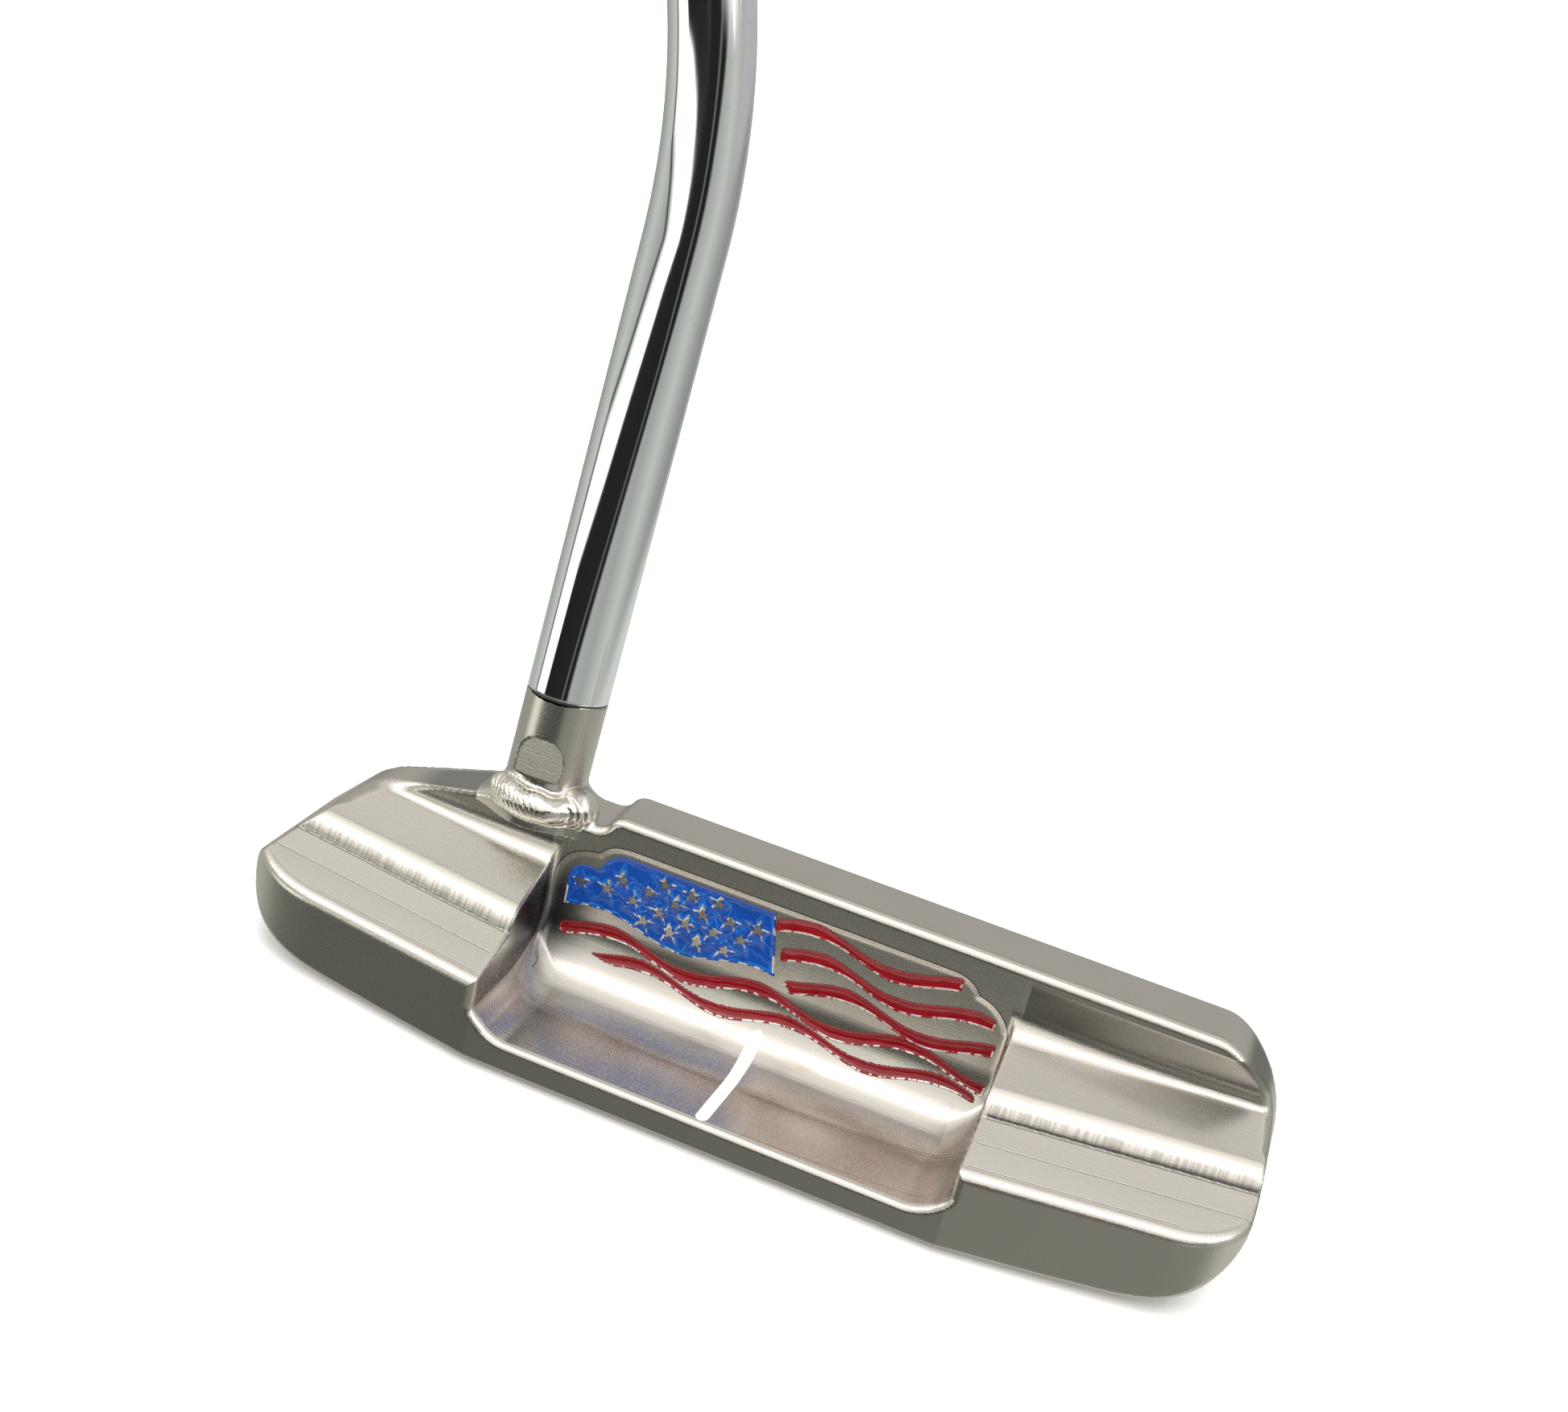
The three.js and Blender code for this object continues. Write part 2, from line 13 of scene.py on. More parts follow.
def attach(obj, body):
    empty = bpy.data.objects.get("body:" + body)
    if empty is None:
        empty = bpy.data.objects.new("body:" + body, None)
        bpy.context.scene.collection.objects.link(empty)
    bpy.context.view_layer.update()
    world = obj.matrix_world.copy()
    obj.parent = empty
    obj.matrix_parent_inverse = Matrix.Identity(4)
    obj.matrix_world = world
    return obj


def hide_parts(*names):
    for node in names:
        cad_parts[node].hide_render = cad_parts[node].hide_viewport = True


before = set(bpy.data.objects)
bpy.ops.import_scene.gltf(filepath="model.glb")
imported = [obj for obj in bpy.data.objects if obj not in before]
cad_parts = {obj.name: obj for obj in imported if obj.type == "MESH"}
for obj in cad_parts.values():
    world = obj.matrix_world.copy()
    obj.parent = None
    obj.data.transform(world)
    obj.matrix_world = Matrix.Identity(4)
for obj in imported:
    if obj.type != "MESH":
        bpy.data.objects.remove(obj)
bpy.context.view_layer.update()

bl_info = {
    "name": "Blade Putter",
    "version": (1, 0, 0),
    "blender": (4, 5, 0),
    "location": "3D View > Sidebar > Putter",
    "description": "Builds the head, flag inlay, neck, weld, shaft and grip of a blade putter",
    "category": "Object",
}

MM = 0.001
DEG = math.pi / 180


# ---- properties ---------------------------------------------------------------------
def length(name, description, mm):
    """A length that a user may change, shown in the scene's units."""
    return FloatProperty(name=name, description=description, default=mm * MM, min=0.0,
                         precision=5, subtype="DISTANCE", unit="LENGTH")


def tint(name, description, rgb):
    """A colour that a user may change."""
    return FloatVectorProperty(name=name, description=description, default=rgb, size=3,
                               min=0.0, max=1.0, subtype="COLOR")


class HeadSizes(bpy.types.PropertyGroup):
    shelf_fillet: length("Shelf fillet", "Radius where the upper shelf meets the back wall", 2.0)
    floor_cove: length("Floor cove", "Radius between the back wall and the flange", 8.6)
    corner: length("Cavity corner", "Radius at the foot of the cavity's end walls", 4.6)
    rim: length("Rim", "Rounding of the rear rim of the two bumpers", 1.2)
    flange_rim: length("Flange rim", "Rounding of the rear rim of the thin flange", 0.9)
    topline_round: length("Topline rounding", "Rounding of the topline's rear edge", 1.0)
    grid: length("Surface step", "Spacing of the surface points across the head", 0.34)


class FlagSizes(bpy.types.PropertyGroup):
    step: length("Surface step", "Spacing of the surface points of the enamel", 0.1)
    rise: length("Meniscus", "How far the enamel climbs at its edges", 0.2)
    star: length("Star size", "Radius of one bare steel star", 1.15)


class ShaftSizes(bpy.types.PropertyGroup):
    sides: IntProperty(name="Sides", description="Points round the shaft", default=96,
                       min=12, max=256)
    weld_pitch: length("Weld pitch", "Distance from one ripple of the weld to the next", 0.62)


class GripSizes(bpy.types.PropertyGroup):
    ribs: IntProperty(name="Ribs", description="Moulded ribs along each side of the grip",
                      default=64, min=4, max=200)
    rib_height: length("Rib height", "How far one rib stands out", 0.25)


class Finishes(bpy.types.PropertyGroup):
    steel: tint("Satin steel", "Blasted stainless steel of the head and neck", (0.64, 0.615, 0.565))
    weld: tint("Weld", "Bright weld metal", (0.78, 0.76, 0.70))
    chrome: tint("Chrome", "Plating of the shaft", (0.83, 0.86, 0.9))
    blue: tint("Blue enamel", "Fill of the flag's field", (0.001, 0.045, 0.26))
    red: tint("Red enamel", "Fill of the stripes", (0.17, 0.002, 0.006))
    white: tint("White enamel", "Fill of the sight line", (0.90, 0.89, 0.86))
    rubber: tint("Rubber", "Moulded rubber of the grip", (0.018, 0.018, 0.02))


class StageSizes(bpy.types.PropertyGroup):
    floor: FloatProperty(name="Floor", description="Half the width of the floor", default=14.0,
                         min=1.0, subtype="DISTANCE", unit="LENGTH")
    focal: FloatProperty(name="Lens", description="Focal length of the camera in millimetres",
                         default=45.323, min=10.0)


# ---- shading helpers ----------------------------------------------------------------
class Wire:
    """A value socket that takes part in arithmetic; each operation adds its Math node."""

    def __init__(self, sheet, socket):
        self.sheet = sheet
        self.socket = socket

    def math(self, operation, *others):
        return self.sheet.node("ShaderNodeMath", {"operation": operation},
                               dict(enumerate((self, *others))))

    def __add__(self, other):
        return self.math("ADD", other)

    __radd__ = __add__

    def __mul__(self, other):
        return self.math("MULTIPLY", other)

    __rmul__ = __mul__

    def __sub__(self, other):
        return self.math("SUBTRACT", other)

    def __rsub__(self, other):
        return self.sheet.node("ShaderNodeMath", {"operation": "SUBTRACT"}, {0: other, 1: self})

    def __abs__(self):
        return self.math("ABSOLUTE")

    def __lt__(self, other):
        return self.math("LESS_THAN", other)

    def __gt__(self, other):
        return self.math("GREATER_THAN", other)

    def rise(self, low, high):
        """0 below low, 1 above high, smooth between."""
        return self.sheet.node("ShaderNodeMapRange", {"interpolation_type": "SMOOTHSTEP"},
                               {"Value": self, "From Min": low, "From Max": high})


class Sheet:
    """The node tree of a material, of the world or of a Geometry Nodes modifier."""

    def __init__(self, tree):
        self.tree = tree
        tree.nodes.clear()

    def node(self, kind, settings=None, inputs=None, out=0):
        """Adds a node, with its settings before its sockets, and gives the output asked for.

        A tuple asks for several outputs, or for none when it is empty.
        """
        made = self.tree.nodes.new(kind)
        for key, value in (settings or {}).items():
            if key == "stops":
                self.set_stops(made.color_ramp.elements, value)
            else:
                setattr(made, key, value)
        for key, value in (inputs or {}).items():
            self.feed(made.inputs[key], value)
        if isinstance(out, tuple):
            return [Wire(self, made.outputs[each]) for each in out]
        return Wire(self, made.outputs[out])

    def set_stops(self, tops, stops):
        """Gives a ramp its (position, level) stops; it starts with two of its own."""
        while len(tops) < len(stops):
            tops.new(0.5)
        for top, (position, _) in zip(tops, stops):
            top.position = position
        for top, (_, level) in zip(tops, stops):
            top.color = (level, level, level, 1.0)

    def feed(self, socket, value):
        """Links a wire to a socket, or sets its value; a colour may leave out its alpha."""
        if isinstance(value, Wire):
            self.tree.links.new(value.socket, socket)
        elif isinstance(value, str) or not hasattr(value, "__len__"):
            socket.default_value = value
        else:
            size = len(socket.default_value)
            socket.default_value = (tuple(value) + (1.0,))[:size]

    def place(self):
        """Object coordinates in millimetres: the vector, and its three parts."""
        point = self.node("ShaderNodeTexCoord", out="Object")
        scaled = self.node("ShaderNodeVectorMath", {"operation": "SCALE"},
                           {0: point, "Scale": 1000.0})
        return scaled, self.parts(scaled)

    def parts(self, vector):
        return self.node("ShaderNodeSeparateXYZ", {}, {0: vector}, out=(0, 1, 2))

    def noise(self, place, scale, detail=2.0, stretch=(1.0, 1.0, 1.0)):
        """Noise from 0 to 1; scale is in features per millimetre."""
        at = self.node("ShaderNodeVectorMath", {"operation": "MULTIPLY"}, {0: place, 1: stretch})
        return self.node("ShaderNodeTexNoise", {}, {"Vector": at, "Scale": scale, "Detail": detail,
                                                    "Roughness": 0.55}, out="Fac")

    def ramp(self, wire, low, high, *stops):
        """Straight lines between (place, level) stops; the places run from low to high."""
        at = (wire - low) * (1 / (high - low))
        stops = [((place - low) / (high - low), level) for place, level in stops]
        return self.node("ShaderNodeValToRGB", {"stops": stops}, {"Fac": at}, out="Color")

    def mix(self, factor, first, second):
        """A colour between two others; a Mix node's colours are its sockets 6, 7 and 2."""
        return self.node("ShaderNodeMix", {"data_type": "RGBA"},
                         {"Factor": factor, 6: first, 7: second}, out=2)

    def bump(self, height, distance_mm, strength=1.0):
        return self.node("ShaderNodeBump", {}, {"Height": height, "Strength": strength,
                                                "Distance": distance_mm * MM}, out="Normal")

    def surface(self, **values):
        """Ends a material in the standard shader; a socket's name has _ for each space."""
        named = {key.replace("_", " "): value for key, value in values.items()}
        shader = self.node("ShaderNodeBsdfPrincipled", {}, named)
        self.node("ShaderNodeOutputMaterial", {}, {"Surface": shader}, out=())


def material(name):
    """A new material, and the sheet of its nodes."""
    made = bpy.data.materials.new(name)
    made.use_nodes = True
    return made, Sheet(made.node_tree)


def shade_of(rgb, factor):
    """A lighter or darker shade of a colour."""
    return tuple(min(1.0, c * factor) for c in rgb)


# ---- finishes -----------------------------------------------------------------------
def satin_steel(name, lines=False, tone=1.0):
    """Blasted stainless steel; the head also carries painted shade, painted reflection, chatter and
    the cutter's lines.
    """
    rgb = shade_of(tuple(bpy.context.scene.putter_finishes.steel), tone)
    made, sheet = material(name)
    place, (x, y, z) = sheet.place()
    grain = sheet.noise(place, 5.0, 3.0)
    cloud = sheet.noise(place, 0.12, 2.0)
    brushed = sheet.noise(place, 3.0, 2.0, (0.12, 1.6, 1.6))
    colour = sheet.mix(cloud, shade_of(rgb, 0.96), shade_of(rgb, 1.03))
    rough = 0.23 + 0.06 * grain + 0.03 * cloud
    height = grain * 0.5 + brushed * 0.5
    if lines:
        score_and_crease_shade = cutter_lines_and_crease_shade(sheet, x, y, z)
        pocket = sheet.node("ShaderNodeAttribute", {"attribute_name": "pocket"}, out="Fac")
        # Painted shadow: a thin dark line along the edge of the flag's pocket; the same attribute
        # also raises the bump below
        outline = 1.0 - abs(pocket).rise(0.04, 0.16)
        colour = painted_light_and_chatter(sheet, place, (x, y, z), colour, rgb)
        colour = sheet.mix(outline * 0.8, colour, shade_of(rgb, 0.3))
        # Darkens the cutter's lines and the painted shade in the crease at the step's foot
        colour = sheet.mix(score_and_crease_shade * 0.55, colour, shade_of(rgb, 0.35))
        height = height - score_and_crease_shade * 1.5 + pocket.rise(-0.25, 0.0) * 1.5
    sheet.surface(Base_Color=colour, Metallic=1.0, Roughness=rough,
                  Normal=sheet.bump(height, 0.012))
    return made


def painted_light_and_chatter(sheet, place, spot, colour, rgb):
    """Paints shade into the cavity's hollow, its heel corner and the walls under the topline, a
    dark reflection in patches on the cove, and chatter on the steps of the two bumpers.
    """
    x, y, z = spot
    side = abs(x)
    rear = y < 5.0
    # Painted reflection: darker brownish patches in noise on the cove, where the curved floor
    # reflects the flag wall
    patches = sheet.noise(place, 0.1, 3.0, (0.7, 1.6, 1.6)).rise(0.47, 0.62)
    patches = patches * rear * (side < 24.0) * y.rise(-4.5, -2.5) * (1.0 - z.rise(6.5, 8.5))
    colour = sheet.mix(patches * 0.6, colour, (0.36, 0.30, 0.24))
    # Painted shade: the low part of the cavity near the back wall, darkened to 0.62
    painted_hollow_shade = rear * (side < 27.3) * (1.0 - z.rise(11.0, 16.0)) * y.rise(-7.0, -3.0)
    colour = sheet.mix(painted_hollow_shade * 0.45, colour, shade_of(rgb, 0.62))
    # Painted shade: the walls under the topline's overhang, beyond the cavity, darkened to 0.4
    under = (side > 28.0) * (side < 55.5) * (y > 3.0) * (y < 10.8)
    under = under * z.rise(18.9, 20.4) * (1.0 - z.rise(23.4, 24.4))
    colour = sheet.mix(under * 0.85, colour, shade_of(rgb, 0.4))
    step = y - (side - CAVITY_HALF) * math.tan(SWEEP)
    step = ((side > BUMPER_START) * (z < 14.3)
            * step.rise(-5.3, -5.1) * (1.0 - step.rise(-4.6, -4.2)))
    chatter = sheet.noise(place, 1.0, 2.0, (3.2, 0.1, 0.1)).rise(0.42, 0.6)
    colour = sheet.mix(step * chatter * 0.5, colour, shade_of(rgb, 0.45))
    # Painted shade: the heel end of the cavity darkened almost to black where its corner fillet
    # meets the back wall
    corner = (x * -1.0).rise(20.0, 26.0) * y.rise(-8.5, -2.0) * z.rise(5.0, 10.0)
    corner = corner * rear * (1.0 - z.rise(14.0, 18.5)) * (x > -27.9)
    return sheet.mix(corner * 0.85, colour, (0.05, 0.055, 0.075))


def cutter_lines_and_crease_shade(sheet, x, y, z):
    """Mask of the thin lines where the cutter changed its path over the head's rear, with a line of
    painted shade in the crease at the foot of each bumper's step.
    """
    side = abs(x)
    bow = side * side * (1.5 / 23.0 ** 2)
    swept = y - (side - CAVITY_HALF) * math.tan(SWEEP)
    within = (side < 27.9) * (z < 13.0)
    beyond = side > BUMPER_START
    inner = abs(abs(y + 4.5 - bow) - 0.17)
    outer = abs(y + 11.72 - bow * 0.75)
    shelf = abs(swept + 8.35)
    foot = abs(swept + 5.3)
    rim = abs(swept + 11.4)
    top = abs(y - 5.15)

    def line(distance, width, where):
        return (1.0 - distance.rise(width * 0.4, width)) * where

    marks = [
        line(inner, 0.09, within * (y < 0.0)),
        line(outer, 0.08, (side < 25.0) * (z < 6.0)),
        line(shelf, 0.08, beyond * (z < 13.0)),
        # Painted shade: a dark line in the crease at the foot of each bumper's step
        line(foot, 0.2, beyond * (z < 13.6)) * 1.1,
        line(rim, 0.07, beyond * (side < 50.0) * (z > 8.0)),
        line(top, 0.07, z > 25.3),
    ]
    total = marks[0]
    for mark in marks[1:]:
        total = total.math("MAXIMUM", mark)
    return total


def weld_metal(name):
    """Bright weld metal, ground back to the steel's colour on the face side."""
    rgb = tuple(bpy.context.scene.putter_finishes.weld)
    made, sheet = material(name)
    place, (_, y, _) = sheet.place()
    heat = sheet.noise(place, 0.5, 2.0)
    grain = sheet.noise(place, 4.0, 3.0)
    ground = y.rise(5.0, 7.5)
    colour = sheet.mix(heat, shade_of(rgb, 0.82), shade_of(rgb, 1.1))
    steel = tuple(bpy.context.scene.putter_finishes.steel)
    colour = sheet.mix(ground, colour, steel)
    sheet.surface(Base_Color=colour, Metallic=1.0, Roughness=0.15 + 0.06 * grain + 0.08 * ground,
                  Normal=sheet.bump(grain, 0.03))
    return made


def mirror_chrome(name):
    """Bright plating, faintly smeared and flecked."""
    rgb = tuple(bpy.context.scene.putter_finishes.chrome)
    made, sheet = material(name)
    place, _ = sheet.place()
    patches = sheet.noise(place, 0.06, 3.0, (1.0, 1.0, 0.35))
    fleck = sheet.noise(place, 0.8, 4.0)
    colour = sheet.mix(fleck.rise(0.62, 0.72) * 0.25, rgb, shade_of(rgb, 0.75))
    sheet.surface(Base_Color=colour, Metallic=1.0, Roughness=0.025 + 0.035 * patches)
    return made


def enamel(name, rgb, depth=0.8, ridge=None):
    """Poured enamel: glossy, a little deeper in colour where it lies thick.

    With a ridge colour it also gets a painted highlight in that colour near its lower edges, and
    painted glints there: white metallic strokes in noise.
    """
    made, sheet = material(name)
    place, _ = sheet.place()
    pool = sheet.noise(place, 0.35, 2.0)
    ripple = sheet.noise(place, 1.2, 2.0)
    colour = sheet.mix(pool, shade_of(rgb, depth), shade_of(rgb, 1.25))
    rough = 0.07 + 0.06 * ripple
    bare = 0.0
    if ridge:
        edge = sheet.node("ShaderNodeAttribute", {"attribute_name": "edge"}, out="Fac")
        # Painted highlight: the ridge colour in a band just inside the enamel's lower edges
        pale = (1.0 - abs(edge - 0.36).rise(0.04, 0.17)) * sheet.noise(place, 0.5).rise(0.4, 0.6)
        # Painted glints: white metallic strokes in noise right at the lower edges, standing in for
        # highlights on the lips
        bare = (1.0 - edge.rise(0.1, 0.2)) * sheet.noise(place, 1.1, 3.0).rise(0.47, 0.53)
        colour = sheet.mix(pale * 0.6, colour, ridge)
        colour = sheet.mix(bare, colour, (0.9, 0.89, 0.86))
        rough = rough + bare * 0.2
    sheet.surface(Base_Color=colour, Roughness=rough, IOR=1.47, Metallic=bare,
                  Normal=sheet.bump(ripple, 0.02))
    return made


def matt(name, rgb, rough, grain_scale, depth_mm):
    """Rubber, epoxy or paper tape: matt, with a fine grain."""
    made, sheet = material(name)
    place, _ = sheet.place()
    grain = sheet.noise(place, grain_scale, 4.0)
    cloud = sheet.noise(place, 0.1, 2.0)
    colour = sheet.mix(cloud, shade_of(rgb, 0.8), shade_of(rgb, 1.25))
    sheet.surface(Base_Color=colour, Roughness=rough + 0.1 * grain - 0.05,
                  Normal=sheet.bump(grain, depth_mm))
    return made


# ---- outlines -----------------------------------------------------------------------
class Outline:
    """A closed line drawn with straight stretches and quadratic curves, in millimetres."""

    def __init__(self, a, b):
        self.points = [(a, b)]

    def line(self, a, b):
        self.points.append((a, b))
        return self

    def curve(self, ca, cb, a, b, steps=14):
        a0, b0 = self.points[-1]
        for i in range(1, steps + 1):
            t = i / steps
            k0, k1, k2 = (1 - t) ** 2, 2 * t * (1 - t), t * t
            self.points.append((k0 * a0 + k1 * ca + k2 * a, k0 * b0 + k1 * cb + k2 * b))
        return self


def distance_to(points, a, b):
    """Signed distance from the places (a, b) to a closed line, negative inside."""
    ring = np.array(points, float)
    best = np.full(a.shape, 1e9)
    inside = np.zeros(a.shape, bool)
    for (a0, b0), (a1, b1) in zip(ring, np.roll(ring, -1, axis=0)):
        da, db = a1 - a0, b1 - b0
        span = da * da + db * db
        if span < 1e-12:
            continue
        t = np.clip(((a - a0) * da + (b - b0) * db) / span, 0, 1)
        best = np.minimum(best, (a - a0 - t * da) ** 2 + (b - b0 - t * db) ** 2)
        if db:
            crosses = ((b0 > b) != (b1 > b)) & (a < (b - b0) * da / db + a0)
            inside ^= crosses
    return np.where(inside, -1.0, 1.0) * np.sqrt(best)


class DistanceMap:
    """A closed line's signed distance on a fine grid, read back between its points."""

    def __init__(self, points, low, high, step=0.12):
        self.low = np.array(low, float)
        self.step = step
        counts = [int(math.ceil((h - l) / step)) + 1 for l, h in zip(low, high)]
        a = self.low[0] + step * np.arange(counts[0])
        b = self.low[1] + step * np.arange(counts[1])
        self.values = distance_to(points, *np.meshgrid(a, b, indexing="ij"))

    def __call__(self, a, b):
        u = np.clip((a - self.low[0]) / self.step, 0, self.values.shape[0] - 1.001)
        v = np.clip((b - self.low[1]) / self.step, 0, self.values.shape[1] - 1.001)
        i, j = u.astype(int), v.astype(int)
        s, t = u - i, v - j
        w = self.values
        return ((1 - s) * ((1 - t) * w[i, j] + t * w[i, j + 1])
                + s * ((1 - t) * w[i + 1, j] + t * w[i + 1, j + 1]))


def smooth(value, low, high):
    """0 below low, 1 above high, smooth between."""
    t = np.clip((value - low) / (high - low), 0, 1)
    return t * t * (3 - 2 * t)


def joined(a, b, r):
    """Union of two solids with a fillet of radius r; fields are negative inside."""
    u, v = np.maximum(r - a, 0), np.maximum(r - b, 0)
    return np.maximum(r, np.minimum(a, b)) - np.sqrt(u * u + v * v)


def trimmed(a, b, r):
    """What two solids have in common, with the edge between them rounded to radius r."""
    return -joined(-a, -b, r)


# ---- turning a field into a surface --------------------------------------------------
def surface_of(field, axes):
    """Points, four-sided faces and corner normals of the surface where a field is zero.

    Each cell that the surface crosses gets one point, put where the tangent planes of its
    edge crossings meet, so that sharp edges stay sharp.
    """
    gx, gy, gz = axes
    shape = (len(gx), len(gy), len(gz))
    value = np.empty(shape)
    for i in range(0, shape[0], 24):
        block = np.meshgrid(gx[i:i + 24], gy, gz, indexing="ij")
        value[i:i + 24] = field(*block)
    inside = value < 0
    cells = tuple(n - 1 for n in shape)
    grids = (gx, gy, gz)
    total = int(np.prod(cells))
    normal_sum = np.zeros((total, 3, 3))
    plane_sum = np.zeros((total, 3))
    point_sum = np.zeros((total, 3))
    count = np.zeros(total)
    edges = []
    for axis in range(3):
        low = [slice(None)] * 3
        high = [slice(None)] * 3
        low[axis], high[axis] = slice(0, -1), slice(1, None)
        changes = inside[tuple(low)] != inside[tuple(high)]
        at = np.argwhere(changes)
        end = at.copy()
        end[:, axis] += 1
        v0, v1 = value[tuple(at.T)], value[tuple(end.T)]
        t = v0 / (v0 - v1)
        point = np.stack([g[at[:, k]] for k, g in enumerate(grids)], 1)
        point[:, axis] += t * (grids[axis][end[:, axis]] - grids[axis][at[:, axis]])
        normal = normals_of(field, point)
        b, c = [k for k in range(3) if k != axis]
        around = []
        for ob, oc in ((-1, -1), (0, -1), (0, 0), (-1, 0)):
            cell = at.copy()
            cell[:, b] += ob
            cell[:, c] += oc
            good = np.all((cell >= 0) & (cell < np.array(cells)), axis=1)
            flat = np.where(good, np.ravel_multi_index(
                tuple(np.clip(cell, 0, np.array(cells) - 1).T), cells), -1)
            around.append(flat)
            f, p, n = flat[good], point[good], normal[good]
            np.add.at(normal_sum, f, n[:, :, None] * n[:, None, :])
            np.add.at(plane_sum, f, n * np.sum(n * p, axis=1)[:, None])
            np.add.at(point_sum, f, p)
            np.add.at(count, f, 1)
        quads = np.stack(around, 1)
        flip = inside[tuple(at.T)] == (axis == 1)
        quads[flip] = quads[flip][:, ::-1]
        edges.append(quads[np.all(quads >= 0, axis=1)])
    used = np.flatnonzero(count)
    middle = point_sum[used] / count[used][:, None]
    weight = 0.04
    a = normal_sum[used] + weight * np.eye(3)
    rhs = plane_sum[used] + weight * middle
    solved = np.linalg.solve(a, rhs[:, :, None])[:, :, 0]
    index = np.stack(np.unravel_index(used, cells), 1)
    for k, g in enumerate(grids):
        solved[:, k] = np.clip(solved[:, k], g[index[:, k]], g[index[:, k] + 1])
    place = np.full(total, -1)
    place[used] = np.arange(len(used))
    faces = place[np.concatenate(edges)]
    centre = solved[faces].mean(axis=1)
    corner = solved[faces] * 0.62 + centre[:, None, :] * 0.38
    normals = normals_of(field, corner.reshape(-1, 3))
    return solved, faces, normals


def normals_of(field, points, reach=0.03):
    """Outward directions of a field at some points, from its change over a short reach."""
    parts = []
    for k in range(3):
        step = np.zeros(3)
        step[k] = reach
        ahead, behind = points + step, points - step
        parts.append(field(*ahead.T) - field(*behind.T))
    n = np.stack(parts, 1)
    return n / np.maximum(np.linalg.norm(n, axis=1), 1e-9)[:, None]


def piece(name, points_mm, faces, finish, stands_for, normals=None, marks=None):
    """Makes one mesh object from points in millimetres, and ties it to the frame.

    marks are distances, one for each point, that the finish reads by their names.
    """
    mesh = bpy.data.meshes.new(name)
    mesh.vertices.add(len(points_mm))
    mesh.vertices.foreach_set("co", (points_mm * MM).astype(np.float32).ravel())
    mesh.loops.add(faces.size)
    mesh.loops.foreach_set("vertex_index", faces.astype(np.int32).ravel())
    mesh.polygons.add(len(faces))
    starts = np.arange(0, faces.size, faces.shape[1], dtype=np.int32)
    mesh.polygons.foreach_set("loop_start", starts)
    mesh.update(calc_edges=True)
    mesh.validate()
    mesh.polygons.foreach_set("use_smooth", [True] * len(mesh.polygons))
    if normals is not None and len(normals) == len(mesh.loops):
        mesh.normals_split_custom_set(normals.tolist())
    for key, values in (marks or {}).items():
        mesh.attributes.new(key, "FLOAT", "POINT").data.foreach_set(
            "value", np.asarray(values, np.float32))
    made = bpy.data.objects.new(name, mesh)
    bpy.context.scene.collection.objects.link(made)
    return tie(made, finish, stands_for)


def tie(made, finish, stands_for):
    """Gives a piece its finish and its body, and hides the CAD nodes that it stands for."""
    made.data.materials.clear()
    made.data.materials.append(finish)
    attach(made, "root")
    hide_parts(*stands_for)
    return made


def spaced(*stops):
    """Grid lines from (end, step) pairs, starting at the first value."""
    at = [stops[0]]
    for end, step in stops[1:]:
        n = max(1, int(round((end - at[-1]) / step)))
        at.extend(np.linspace(at[-1], end, n + 1)[1:])
    return np.array(at)


# ---- head ---------------------------------------------------------------------------
TOP_Z, SEAT_Z = 25.5, 23.4
WALL_Y, FLOOR_Z, REAR_Y = 4.1, 3.8, -12.75
CAVITY_HALF = 27.5
SWEEP = 9.6 * DEG
FACE_TOP_Y, LOFT = 11.5, 3.5 * DEG
POCKET_DEEP = 0.1
POCKET_Y = WALL_Y + POCKET_DEEP
BUMPER_START = 28.2     # how far from the middle the marks of the bumpers begin

# The section of a bumper as (y, z), from its back wall down to its rear rim
SHELF_START, SHELF_END = (2.3, 17.5), (-3.96, 14.72)
STEP_TOP, STEP_FOOT = (-4.72, 14.4), (-5.23, 12.5)
LEDGE_LINE, LEDGE_END = (-8.3, 11.33), (-11.5, 10.4)


def front_outline():
    """The head seen along the target line, as (x, z)."""
    return (Outline(-46, 0.4).curve(-34, 0, -24, 0).line(24, 0).curve(34, 0, 44, 0.4)
            .curve(57.2, 0.8, 57.1, 10.5, 30).curve(56.9, 18, 52.6, 22.8, 20)
            .curve(50.2, TOP_Z, 47.8, TOP_Z).line(-19.8, TOP_Z)
            .curve(-21.2, TOP_Z, -21.8, (TOP_Z + SEAT_Z) / 2).curve(-22.4, SEAT_Z, -24, SEAT_Z)
            .line(-34.5, SEAT_Z).curve(-36.5, 23.1, -39, 22.1).line(-50.2, 18.4)
            .curve(-52.2, 17.7, -54, 16.2).line(-59.6, 10.4).curve(-60.9, 8.8, -60.8, 6.5)
            .curve(-60.2, 0.8, -46, 0.4, 30).points)


def plan_outline():
    """The head seen from above, as (x, y)."""
    def swept(x):
        return REAR_Y + (abs(x) - CAVITY_HALF) * math.tan(SWEEP)
    return (Outline(-63, 20).line(-62.2, 0).curve(-59.5, -7.4, -49.5, swept(-49.5), 24)
            .line(-CAVITY_HALF, REAR_Y).line(CAVITY_HALF, REAR_Y).line(49.5, swept(49.5))
            .curve(57.5, -7.7, 58, 0.5, 24).line(58, 20).points)


